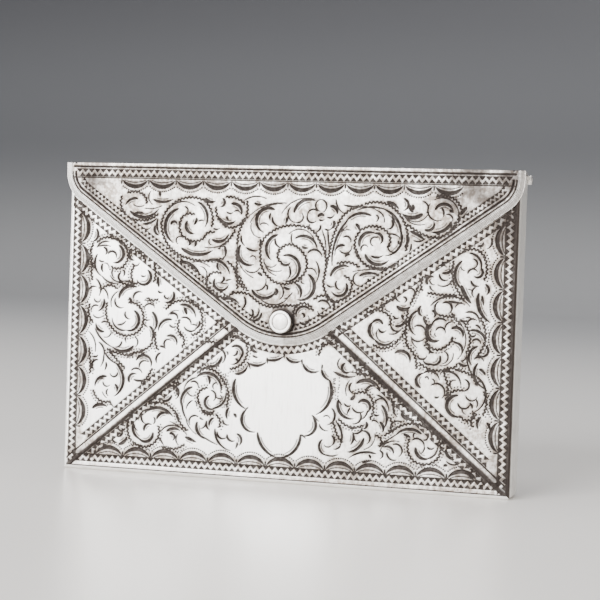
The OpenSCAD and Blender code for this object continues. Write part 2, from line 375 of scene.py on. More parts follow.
def fringes(graver, edges, dotted=False):
    """Toothed edges of leaves, with a row of dots beyond them if dotted."""
    for edge in edges:
        a, b, c = edge[:2], edge[2:4], edge[4:]
        path = bow(a, b, c)
        out = outward(path, a, b, c)
        run = np.linspace(0, len(path) * 0.06, len(path))
        graver.cut(path + out * (0.17 * np.sin(2 * math.pi * run / 0.75))[:, None], 0.38, "line", 0)
        if dotted:
            points, _ = spaced(path + out * 0.62, 0.6)
            graver.dots(points, 0.36)


def stipple(graver, low, high, pitch=0.55):
    """Dots scattered evenly over a rectangle."""
    columns, rows = (max(2, int((high[i] - low[i]) / pitch)) for i in (0, 1))
    across, up = np.meshgrid(np.arange(columns), np.arange(rows))
    x = low[0] + pitch * (across + 0.3 * np.sin(12.9 * up + 78.2 * across))
    z = low[1] + pitch * (up + 0.3 * np.sin(39.3 * up + 11.1 * across))
    graver.dots(np.column_stack([x.ravel(), z.ravel()]), 0.32)


# Leaf and scroll cuts: the start, middle and end of an arc, and the cut's widest width
FLAP_CUTS = [
    (-31, 55.2, -32.6, 55, -33.6, 53.9, 0.5), (-32.6, 52.7, -30, 51.5, -26.5, 53.2, 0.6),
    (-31.6, 52.2, -30.6, 52.4, -29.6, 52.3, 0.45), (-31.9, 54, -30.9, 53.6, -29.6, 53.9, 0.2),
    (-29.4, 53.3, -27.5, 53.3, -25.8, 53.9, 0.2), (-27.7, 55.1, -26.3, 54.7, -23.5, 55.2, 0.5),
    (-26.4, 56.7, -26.3, 56.2, -26.3, 55.7, 0.5), (-28.3, 56.7, -28.7, 55.6, -27.8, 54.1, 0.25),
    (-29.7, 50.2, -28.2, 50.4, -26.8, 51.4, 0.45), (-27.1, 49.9, -27.2, 48.9, -26.3, 48, 0.5),
    (-26.6, 51.3, -26.7, 49.6, -26.2, 48.3, 0.4), (-29.6, 49.4, -28.9, 49.1, -28.1, 49.5, 0.25),
    (-22.2, 53.4, -24.9, 50.6, -23.2, 46.6, 0.65), (-21.4, 45.6, -18.6, 44.4, -14.8, 45.3, 0.65),
    (-18.2, 54.8, -16.3, 52.8, -16.5, 50, 0.5), (-24.2, 53.3, -21.5, 54.8, -18.9, 54.1, 0.25),
    (-21, 53.8, -20.3, 53.3, -20.4, 52.6, 0.3), (-20.3, 51, -20.4, 49.4, -18.8, 48.5, 0.6),
    (-18.4, 51.6, -18.5, 50.9, -18.9, 50.3, 0.5), (-17.9, 51, -17.3, 51.2, -16.9, 51.1, 0.3),
    (-23.7, 50.2, -23.2, 50.8, -22.5, 50.2, 0.5), (-21.4, 47.8, -22.5, 47.4, -22.2, 46.4, 0.25),
    (-20, 47.2, -19.6, 46.7, -19.9, 46.2, 0.5), (-18.6, 47, -18.4, 46.5, -18.7, 46, 0.45),
    (-15.4, 47.6, -15.6, 46.8, -14.9, 46.4, 0.25), (-15, 47.5, -13.8, 47.1, -11.5, 48.7, 0.55),
    (-16.5, 45.9, -13.5, 46.2, -11, 48.5, 0.2), (-14.8, 49.7, -14.1, 49.5, -13.5, 49.7, 0.3),
    (-12.4, 46.3, -12.1, 45.3, -12.2, 44.1, 0.5), (-16.6, 55.6, -15.6, 54.9, -14.6, 55, 0.55),
    (-13, 55.6, -12.6, 54.8, -13.4, 54, 0.5), (-11.2, 54.6, -9.8, 54.4, -9, 52.6, 0.6),
    (-12.1, 53, -11.5, 52.7, -10.8, 52.9, 0.3), (-10.6, 53.1, -9.6, 53.2, -9.1, 52.6, 0.25),
    (-13.6, 51.8, -12, 50.7, -10.2, 51.3, 0.55), (-12.1, 52.1, -11.9, 51.6, -11.6, 51.3, 0.4),
    (-21.8, 42.8, -19.2, 42.3, -17.4, 40.6, 0.6), (-17.3, 42, -15.9, 40.8, -16.8, 39.3, 0.2),
    (-19, 42.8, -16.8, 42.8, -15.3, 42, 0.2), (-15.9, 43.2, -13, 43.1, -11.1, 40.8, 0.5),
    (-13.6, 42.9, -13.7, 42, -13.3, 41.4, 0.45), (-14.2, 39.7, -13.6, 37.7, -11.3, 38.6, 0.5),
    (-13.9, 38.9, -12.4, 38.9, -11.4, 38.8, 0.2), (-12.4, 40.2, -12.3, 39.6, -12.9, 39.2, 0.4),
    (-11.8, 39.4, -11.3, 39.6, -10.7, 39.7, 0.3), (-12.4, 35.6, -10.6, 35.9, -9, 35, 0.5),
    (-8, 36.4, -7.6, 35.4, -8.4, 34, 0.4), (-6.3, 34, -6, 33.2, -6.6, 32.2, 0.4),
    (-4.9, 34.2, -4.8, 33.5, -6.2, 32.6, 0.3), (-4.3, 33.4, -4.8, 32.2, -6.6, 32.1, 0.45),
    (-5, 36.6, -1.5, 35.1, 1.5, 37.2, 0.25), (-2.2, 53.7, -5.9, 51.6, -4.4, 49.2, 0.65),
    (-0.6, 54.8, -5, 53.6, -7.2, 51, 0.2), (0.2, 55, -4.5, 54.3, -8, 51.6, 0.2),
    (-6.9, 50.9, -6.6, 49, -4.9, 48.1, 0.2), (-3, 53, -3.2, 52.2, -3.1, 51.6, 0.35),
    (-2.6, 52.2, -2.3, 51, -1.4, 50.5, 0.4), (-5.1, 50.7, -4.3, 51, -3.4, 50.6, 0.25),
    (-5, 47.8, -4.9, 47.2, -5.2, 46.6, 0.45), (-8.9, 48.4, -8.8, 47.2, -8.2, 46.5, 0.35),
    (-7.8, 46.1, -6.8, 45.6, -5.4, 45.6, 0.4), (-9, 46.6, -8.6, 43.2, -6.2, 42.8, 0.65),
    (-9.4, 47.5, -9.2, 43, -6.2, 40.2, 0.2), (-7, 44.2, -6.4, 44.5, -5.7, 43.8, 0.25),
    (-7.9, 41.8, -6.4, 41.2, -4.9, 42.2, 0.25), (-5.2, 41.2, -4.8, 41, -4.4, 40.6, 0.5),
    (-1.4, 48.8, -3.7, 46.2, -2.6, 43.8, 0.6), (-1.9, 48, -1.6, 46.8, -0.6, 46.3, 0.35),
    (-0.2, 44.7, 3, 43.4, 0, 39.9, 0.55), (-0.6, 43.4, 0.3, 42.9, 1.3, 43.4, 0.5),
    (1, 42.8, 1.4, 41.5, 0.9, 40.2, 0.35), (-4.1, 43.9, -3.4, 42.6, -1.5, 43, 0.2),
    (-4.1, 43.2, -2.6, 41.8, -0.4, 41.8, 0.2), (-3.7, 42.5, -2.8, 41.4, -1.5, 40.8, 0.2),
    (2.2, 48.2, 4.6, 48.6, 6.7, 46.2, 0.5), (0.9, 49, 3, 50, 6, 48, 0.2),
    (1.5, 49.2, 1.5, 47.5, 2, 46.6, 0.25), (3.6, 46.6, 4.2, 46.4, 4.8, 46.4, 0.45),
    (4.8, 45.4, 6.3, 46.1, 7.7, 44.8, 0.4), (6.5, 43.9, 7.2, 42, 6.5, 39.6, 0.3),
    (4.8, 42.3, 5.8, 42.4, 6.7, 41.3, 0.25), (5, 41.3, 6.3, 39.3, 3, 36.3, 0.65),
    (3.6, 40.2, 3.8, 39.6, 4.4, 39.4, 0.25), (2.5, 39.4, 3.6, 38.2, 3.5, 36.6, 0.5),
    (-6.4, 37.9, -3.5, 36.3, -1.2, 38.2, 0.6), (-1.5, 38.2, -1.2, 37.6, -1.6, 37, 0.5),
    (-5.6, 37.8, -4, 38.3, -3.6, 40, 0.3), (-3.4, 38.9, -3.2, 38.3, -3.3, 37.9, 0.4),
    (0.2, 38.6, 0.9, 38.3, 1.5, 38.3, 0.5), (-0.5, 38.9, 0.1, 37.4, -0.6, 36.2, 0.3),
    (1.9, 37.6, 1.2, 36.8, 0.3, 36.3, 0.25), (-6.4, 54.9, -5.6, 54.6, -4.8, 54.7, 0.45),
    (-8.6, 55.3, -6.8, 56.1, -4, 55.8, 0.25), (1, 54.2, 0.7, 52.2, 2.2, 51.3, 0.3),
    (2.2, 51.3, 3.6, 52, 3.4, 53.1, 0.3), (1.8, 53.2, 2.4, 54.6, 6, 55.6, 0.6),
    (-0.7, 53, 0.8, 54.8, 5.9, 55.9, 0.2), (0.3, 52.2, 0.3, 51.5, 0.1, 51, 0.45),
    (7, 53.6, 6.1, 54.8, 7.3, 55.9, 0.3), (7.3, 55.9, 8.3, 54.9, 7.7, 53.5, 0.3),
    (6.5, 53.6, 5.3, 53.9, 4.5, 52.7, 0.3), (4.5, 52.7, 4.8, 51.6, 6.2, 51.6, 0.35),
    (9.1, 54.6, 10.2, 54.2, 10.5, 53.2, 0.6), (8.5, 52.5, 9.3, 52.4, 9.9, 53, 0.3),
    (9.8, 51.8, 9.9, 50.9, 9.3, 50.3, 0.5), (8.1, 50.2, 8.8, 50, 9.4, 50.2, 0.3),
    (5, 51, 4.9, 50.4, 5.3, 50, 0.3), (7.2, 50.9, 7, 50, 6.4, 49.6, 0.4),
    (6.7, 52.6, 7.3, 53, 7.9, 52.7, 0.55), (6.9, 52, 7.4, 51.8, 7.9, 52, 0.3),
    (7.5, 50, 8.2, 48, 8.5, 45.5, 0.25), (8.7, 50, 8.9, 48, 9.2, 46, 0.3),
    (17.3, 53, 14.5, 53.3, 12.2, 51.6, 0.5), (12.8, 52.2, 10.6, 48.8, 9.8, 43.2, 0.45),
    (10.2, 48.5, 11.4, 49.8, 13.2, 50.1, 0.2), (10, 47.4, 11.2, 49.6, 12.6, 50.9, 0.2),
    (11.9, 48.7, 12.9, 48.8, 13.4, 47.8, 0.35), (12.2, 47.1, 11, 47, 10.3, 46, 0.5),
    (11.2, 46.2, 12.6, 45.6, 13.6, 47, 0.3), (13.2, 45.4, 12.8, 45.4, 12.4, 44.9, 0.45),
    (14.3, 51.3, 14.8, 50.8, 15, 50.2, 0.55), (18.2, 53.2, 18.7, 52.6, 18.3, 51.9, 0.3),
    (18.3, 50.4, 18.7, 50.3, 19, 50.2, 0.3), (15.2, 47, 16, 49.4, 18.2, 49.6, 0.6),
    (18.2, 49.6, 19.4, 49.2, 19.3, 47.7, 0.5), (18.7, 48.8, 17.5, 48.6, 17.8, 47.2, 0.3),
    (15.6, 46.2, 15.8, 47.2, 16.8, 47, 0.3), (16.3, 45.6, 18, 43.8, 21, 44.5, 0.6),
    (10.2, 55.9, 10.5, 54.6, 11.7, 53.4, 0.3), (11.8, 54.9, 13, 54.7, 15.5, 55, 0.35),
    (13.5, 54, 17, 54.6, 19.8, 52.8, 0.2), (9.6, 41, 10.5, 42.6, 13.2, 43, 0.55),
    (12.7, 39.8, 12.2, 37.6, 9.9, 38.1, 0.55), (10.8, 40.2, 10.7, 39.2, 11.6, 38.5, 0.35),
    (8.9, 39.4, 9.6, 39, 10.3, 39.1, 0.3), (15, 42, 14.1, 40.6, 15.6, 39.4, 0.3),
    (15.3, 41.3, 17, 41.9, 19.3, 41.6, 0.5), (14, 42.1, 17, 42.6, 20.5, 42.4, 0.2),
    (17, 40.8, 17.1, 40.5, 17, 40.2, 0.4), (14.5, 54, 18.5, 54.6, 22.2, 53, 0.3),
    (20, 54.2, 22.6, 52, 23.2, 48.6, 0.5), (23.3, 50, 22.8, 46.8, 20.4, 45.4, 0.45),
    (24.4, 49.5, 24.6, 48.2, 24, 47.2, 0.6), (18.3, 54, 19.6, 53.2, 19.9, 51.8, 0.2),
    (21.5, 53.3, 21.6, 52.6, 22, 51.8, 0.5), (21.3, 52.2, 21.5, 51, 20.6, 50.6, 0.4),
    (21, 49.6, 22.3, 49.4, 23, 49, 0.3), (22.9, 48.3, 22.8, 48, 23, 47.7, 0.4),
    (20.9, 47.6, 21, 46.5, 22.3, 46.3, 0.25), (17.5, 45.3, 18.8, 45, 19.8, 45.4, 0.4),
    (20.3, 55.7, 21.8, 55.2, 22.6, 54.5, 0.6), (23.6, 56.4, 24.5, 55.5, 23.7, 54.2, 0.45),
    (24.8, 55.2, 25, 54.4, 25.6, 53.9, 0.6), (27.3, 53.6, 25.8, 52.9, 23.4, 53.5, 0.75),
    (23.8, 53.2, 26.5, 52.1, 28.6, 54, 0.2), (23.9, 52.8, 25.5, 51.7, 27.8, 51.6, 0.2),
    (27.3, 56, 28.3, 55.2, 28.1, 53.8, 0.3), (25.3, 55.2, 25.5, 54.6, 25, 54.2, 0.5),
    (27.9, 50.6, 29.3, 50.8, 29.6, 52.2, 0.5), (33, 52.3, 31.2, 50.4, 29.2, 50.2, 0.6),
    (29.8, 54.4, 31, 55.5, 33.2, 54.4, 0.55), (30.9, 54.9, 31.4, 54.2, 31.4, 53.2, 0.35),
    (28.8, 55.6, 28.7, 53.2, 31, 52.5, 0.3), (32, 53.6, 32.9, 53.4, 33.2, 52.4, 0.3),
    (29.5, 56.3, 33.2, 56, 34.2, 52.5, 0.25), (32.6, 54.4, 33, 54.2, 33.3, 54, 0.5),
    (25.1, 50.2, 26.5, 49.6, 27.9, 48.7, 0.55), (25.8, 48.5, 26.8, 48.3, 28, 49, 0.3),
    (25.3, 47.8, 25.3, 47, 25, 46.3, 0.35), (35.8, 55, 35.2, 54.3, 34.8, 53.6, 0.6),
    (5.6, 34.4, 3.6, 34.8, 2.9, 33, 0.45), (3.6, 32, 5.2, 31.8, 5.3, 33.2, 0.35),
    (4, 33.6, 4.5, 33.2, 4.3, 32.8, 0.4), (7.2, 35.9, 8.8, 36.2, 9.6, 34.8, 0.4),
    (9.3, 33.9, 8, 33.3, 7.2, 34.2, 0.4), (8, 35, 8.4, 34.7, 8.6, 34.9, 0.35),
]

# Toothed edges: the start, middle and end of an arc
FLAP_FRINGES = [
    (-33.2, 56.3, -31.5, 56.6, -29.6, 55.8), (-29.8, 56, -29.2, 55.2, -29.1, 54.3),
    (-34.4, 55.6, -34.6, 53.8, -33.4, 52), (-32.6, 51.3, -29.5, 50.9, -26.6, 52.2),
    (-17, 55.2, -23.5, 54.3, -25.8, 50.5), (-25.8, 50.5, -24.5, 46.5, -21, 43.9),
    (-21, 43.9, -18.5, 43.3, -12.3, 43.9), (-17, 55.3, -15.3, 53, -15.1, 50),
    (-18.9, 52.3, -21, 52.1, -21.8, 50), (-21.8, 50.5, -21.8, 49, -21.2, 48.1),
    (-21.2, 48.1, -18.8, 47, -16.5, 47.9), (-16.5, 47.9, -15.9, 48.8, -14.6, 48.8),
    (-13.6, 45.8, -11.5, 47.5, -10.2, 49.5), (-14.3, 53.9, -14, 52, -12.2, 50.3),
    (-12.4, 50.2, -10.5, 50, -8.6, 51.6), (-12.3, 55.9, -10, 55.7, -8.4, 54.6),
    (-11.7, 43.2, -10.2, 41.8, -9.6, 40), (-12.9, 40.8, -15, 40.7, -15.9, 39),
    (-15.9, 39, -15.2, 37.4, -13.4, 36.3), (-13.4, 36.3, -11.6, 36.2, -10.2, 37.4),
    (-9.8, 45.5, -9.6, 41, -9.4, 38), (-9, 40.5, -8.2, 38.8, -7.2, 37.6), (-10.2, 37, -8.4, 37.2, -6.6, 36.8),
    (-6.6, 36.8, -4.5, 35.2, -1.5, 34.6), (-1.5, 34.6, 0.5, 35, 3, 35), (2.8, 50.6, -0.5, 50.4, -3, 49.1),
    (-3, 49.1, -4.6, 47.2, -4.8, 44.5), (-4.8, 44.5, -4.4, 42.2, -3.2, 40.6),
    (-3.2, 40.6, -1, 39.3, 1.5, 39.5), (1.5, 39.5, 2.9, 39.9, 3.9, 40.8), (2.8, 50.6, 5, 50.2, 7, 48),
    (7, 48, 8.2, 45.8, 8.6, 43), (-1.2, 45, 0.6, 46.9, 3.2, 46), (3.2, 46, 4.7, 43.6, 3.2, 40.4),
    (-0.9, 46, -1.3, 44.6, -0.6, 43.4), (-8, 55.2, -7.8, 53.2, -8.4, 51.3),
    (-8.4, 51.3, -9.3, 49.4, -9.7, 46.8), (-9.9, 42, -9.4, 40, -8, 37.9),
    (10.5, 50.5, 12.5, 53.6, 15.5, 54.9), (10.5, 50.5, 9.6, 48, 9.2, 45.5), (9.2, 45.5, 8.7, 43.2, 8.2, 40),
    (8.2, 40, 8.6, 38, 9.4, 36.9), (15.4, 50.2, 18, 51, 20.3, 50.2), (20.3, 50.2, 21.2, 48.5, 20.8, 47),
    (15.4, 50.2, 14.2, 47.6, 15, 45), (15, 45, 16.8, 43.3, 20, 43), (10.8, 43.5, 12.8, 43.9, 15.2, 43),
    (12.3, 41.2, 13.7, 40.2, 13.6, 38.4), (13.6, 38.4, 13, 37.2, 11.5, 36.5),
    (11.5, 36.5, 9.8, 36.3, 8.8, 37), (16, 55.2, 20.5, 55.2, 23.4, 52.6),
    (23.4, 52.6, 24.6, 49.5, 24.3, 46.5), (14.6, 46.5, 15.3, 44.6, 17, 43.4), (17, 43.4, 20, 42.9, 22.8, 44),
    (30, 56.9, 33, 56.8, 35, 54), (34.3, 54, 34.3, 52.5, 33, 51), (24.5, 51.5, 26.5, 50.2, 28.6, 49.3),
    (28.6, 49.3, 31, 49.3, 33.5, 51), (2.4, 33, 4, 35.6, 6.2, 34.2), (6.4, 36.4, 9.4, 36.9, 10.4, 34.6),
]

LEFT_CUTS = [
    (-40.1, 48.9, -39.7, 47.6, -40.9, 46.3, 0.45), (-39.8, 45.1, -38.8, 46.2, -37.2, 46.3, 0.35),
    (-39.6, 45.3, -38.3, 45.6, -36.9, 45.4, 0.25), (-38.4, 45.2, -37.8, 44.8, -37.9, 43.8, 0.4),
    (-37.4, 43.9, -36.2, 44.4, -35.6, 43.2, 0.4), (-35.1, 45.7, -34.1, 43.6, -36.2, 42.2, 0.6),
    (-34.6, 46.5, -33.5, 45.4, -33.4, 44.5, 0.25), (-39.7, 43.8, -40.1, 41.2, -38.6, 39.3, 0.4),
    (-38.6, 39.4, -37.2, 38.3, -34.6, 38.2, 0.3), (-39.3, 42.6, -38.8, 42.3, -38.2, 42.4, 0.3),
    (-38.5, 41.9, -38.7, 41.1, -38.4, 40.2, 0.4), (-38.2, 42, -37.4, 41.8, -37.1, 41, 0.2),
    (-36.3, 40.9, -36.4, 39.8, -35.9, 39.1, 0.3), (-34.5, 40.2, -35, 39.3, -33.8, 38.6, 0.4),
    (-33.8, 38.6, -32.4, 38.4, -31.2, 38, 0.35), (-36.8, 39.6, -35.6, 38.5, -33.8, 38.5, 0.25),
    (-33.9, 40.8, -33.7, 40.2, -33.9, 39.5, 0.35), (-32.7, 44.6, -32.6, 43.2, -31.7, 42.8, 0.55),
    (-32, 42.2, -31.4, 41.7, -30.6, 42.3, 0.3), (-28.7, 40.9, -28.1, 39, -31, 38.9, 0.55),
    (-30.1, 39.8, -29.6, 39.6, -29.1, 39.8, 0.3), (-26.5, 39.6, -26.4, 38.5, -26.2, 37.6, 0.55),
    (-26.3, 36.9, -25.9, 36.5, -25.4, 36.6, 0.35), (-23.1, 36.8, -23, 35.6, -24.9, 34.7, 0.55),
    (-24.9, 36.1, -24.4, 35.4, -24, 35.7, 0.35), (-25, 39.2, -24.6, 39.1, -24.4, 38.9, 0.4),
    (-41.4, 36.3, -40.8, 37.1, -39.7, 37.1, 0.35), (-39.9, 38.8, -38.9, 37.5, -39.1, 35.4, 0.35),
    (-40.1, 34.8, -39.5, 34.1, -38.7, 34.7, 0.3), (-38.2, 37, -37.4, 36, -37.1, 34.8, 0.3),
    (-35, 36.4, -36.2, 35.2, -36.3, 33.2, 0.25), (-34.7, 35, -33.8, 36.9, -30.9, 37.4, 0.6),
    (-31.6, 35.1, -31.2, 36.2, -29.8, 36.4, 0.4), (-32.5, 35.2, -32.2, 34.8, -32, 34.2, 0.5),
    (-35.5, 35, -35.3, 33.6, -33.7, 33.2, 0.35), (-29.3, 34.8, -28.2, 34.8, -27, 33.8, 0.2),
    (-29.2, 33.3, -28.5, 34.1, -27, 33.4, 0.3), (-38, 34.8, -38.2, 33.2, -39.2, 32.3, 0.45),
    (-39.2, 33.3, -40.3, 33.3, -40.6, 32, 0.3), (-40.3, 31.5, -39.3, 30.9, -38.2, 31.3, 0.25),
    (-31.4, 32.7, -30.3, 30.6, -33, 28.7, 0.6), (-33, 28.7, -34.9, 29, -36.1, 31, 0.35),
    (-33.2, 32.4, -33.2, 31.4, -32.2, 31, 0.35), (-34.9, 29.7, -34, 29.8, -33.1, 30.5, 0.35),
    (-27.5, 32.6, -26.5, 30.8, -27, 28.8, 0.55), (-28, 29.7, -27.1, 28.4, -27.6, 26.8, 0.5),
    (-29.3, 30, -28.8, 29.8, -28.4, 29.4, 0.3), (-29.1, 31.2, -28.5, 30.9, -27.9, 31, 0.25),
    (-38.4, 29.9, -37.6, 30.2, -37, 29.9, 0.35), (-37.8, 28.2, -38.9, 28.5, -39.6, 29.8, 0.5),
    (-36.2, 28.3, -36.4, 27.6, -37.8, 27.1, 0.25), (-39.8, 28.8, -38, 26.4, -35.6, 25, 0.35),
    (-31.3, 25.6, -33.6, 24.4, -35.8, 25.2, 0.65), (-33.9, 26.4, -34.1, 25.7, -35.2, 25.2, 0.35),
    (-34.3, 27.5, -34, 27.8, -33.6, 27.5, 0.4), (-31.1, 27.4, -30.4, 26.5, -30.9, 25.4, 0.25),
    (-32.9, 27.3, -33.1, 26.8, -32.9, 26.2, 0.25), (-41.2, 28.1, -39.9, 26.5, -39.6, 24, 0.25),
    (-38.9, 26, -37.8, 24.8, -37.7, 23.2, 0.35), (-37.7, 23.6, -37.8, 22.2, -38.3, 21.1, 0.3),
    (-39.9, 23.1, -39.5, 23, -39, 23.4, 0.35), (-38.9, 22.4, -40, 22, -39.6, 20.3, 0.4),
    (-37.2, 22, -37.1, 21.2, -37.4, 20.4, 0.35), (-37.6, 24.2, -36.3, 22.6, -34.6, 21.7, 0.35),
    (-35, 21.9, -33.6, 20, -33.4, 18, 0.5), (-30.6, 22.7, -29.2, 23.8, -27.4, 21.6, 0.5),
    (-29.9, 21.3, -29.4, 22.5, -28.1, 22.5, 0.35), (-31.6, 20.6, -30.6, 21.1, -29.3, 20.2, 0.35),
    (-31.9, 18.2, -31.6, 19.8, -30.5, 19.9, 0.5), (-31, 18.8, -30, 18.6, -28.9, 18.9, 0.4),
    (-25.4, 24.5, -26.3, 23.5, -26.2, 22.4, 0.4), (-25.6, 25.8, -25, 25.7, -24.4, 25.4, 0.4),
    (-24.5, 25.8, -24.6, 26.8, -23.3, 27, 0.35), (-24.2, 27.8, -22.8, 27.9, -22.1, 26.2, 0.45),
    (-21.6, 34.2, -19.6, 34, -18.2, 31.9, 0.5), (-20.6, 33.6, -20.3, 33, -20.1, 32.4, 0.6),
    (-21.2, 31.6, -20, 31.7, -19.1, 30.3, 0.35), (-18.9, 30.4, -18.4, 30.4, -17.9, 30.2, 0.3),
    (-20.6, 29.9, -19.6, 29.1, -17.8, 29.9, 0.35), (-17.4, 31.2, -17.4, 30.4, -18.2, 29.7, 0.45),
    (-23.2, 31.2, -25, 30.9, -26, 28.8, 0.5), (-23.6, 32.2, -22.8, 32.5, -22.1, 31.4, 0.4),
    (-24, 32, -22.9, 33, -21.8, 33, 0.2), (-23.7, 30.2, -23, 29.7, -22.3, 29.9, 0.35),
    (-36.9, 19.1, -38.8, 18.6, -39.4, 17, 0.5), (-38.7, 18.3, -38.1, 18.7, -37.5, 18.5, 0.25),
    (-37.7, 18, -37.2, 17.2, -36.2, 17.4, 0.3), (-36.6, 16.6, -36.9, 15.9, -36.5, 15.2, 0.3),
    (-34, 20.8, -33.3, 18.2, -35.2, 15.2, 0.55), (-35.1, 17.6, -34.6, 17, -34.7, 16.2, 0.45),
    (-34.6, 20.1, -35.2, 19.2, -36.2, 19.8, 0.35), (-37.8, 16, -37.4, 15.3, -36.8, 14.8, 0.2),
    (-39.8, 12.5, -38.6, 13.3, -36.7, 13, 0.6), (-36.1, 14.4, -35.9, 13.8, -35.3, 13.1, 0.3),
]

LEFT_FRINGES = [
    (-39.8, 46.2, -38.2, 47.2, -36.2, 46.9), (-36.2, 46.9, -34.6, 46.6, -33.6, 45.2),
    (-33.4, 45, -33.1, 43, -34, 41.6), (-33.9, 41.5, -35.2, 41, -36.6, 41.3),
    (-40.6, 46, -41.2, 43.2, -40.4, 41), (-32.6, 34.2, -31.2, 34.1, -30, 33.2),
    (-31, 34.2, -29.6, 32.6, -29.4, 30.4), (-29.4, 30.4, -30, 28.9, -31.2, 28),
    (-31.2, 28, -34, 27.7, -36.2, 29.2), (-37.2, 34, -37.4, 31.5, -36.2, 29.2),
    (-27.3, 26.5, -27.9, 25.6, -29.2, 24.9), (-29.2, 24.9, -30.2, 24.4, -31.5, 24),
    (-31.5, 23.8, -34.5, 23.9, -36.5, 24.6), (-36.9, 24.8, -35, 22.8, -33, 21),
    (-26.6, 28.5, -26.6, 26.5, -26, 25), (-24.5, 33.2, -21.5, 35.1, -18.6, 34.4),
    (-18.6, 34.4, -17.2, 33.2, -16.8, 31.3), (-16.8, 31.3, -17.2, 29.2, -19, 28.4),
    (-21.5, 31.2, -21.9, 29.5, -21, 28.2), (-21.5, 28.4, -20.5, 27.3, -20.9, 25.9),
    (-39.7, 16.2, -38.6, 14.4, -36.2, 14.1), (-32.6, 44.9, -30.6, 44.3, -29.2, 42.6),
    (-31.6, 41.6, -32.2, 39.6, -31.8, 38.6), (-27.4, 42.2, -27, 40.6, -27.3, 38.6),
    (-40.6, 38.6, -40.9, 40.6, -40.2, 42.4), (-38.6, 36.6, -36.6, 37.6, -35.2, 36.9),
    (-26.4, 35.2, -27.4, 34.9, -28.6, 35.4), (-34.8, 38.4, -33, 37.9, -30.8, 38.3),
    (-41, 33.6, -41.2, 31.4, -40.2, 30), (-41, 24.6, -40.6, 22, -40.6, 19.6),
    (-32.4, 23.2, -31.6, 24, -29.2, 24.2), (-27.2, 21.2, -28, 19.6, -29.4, 18.2),
]

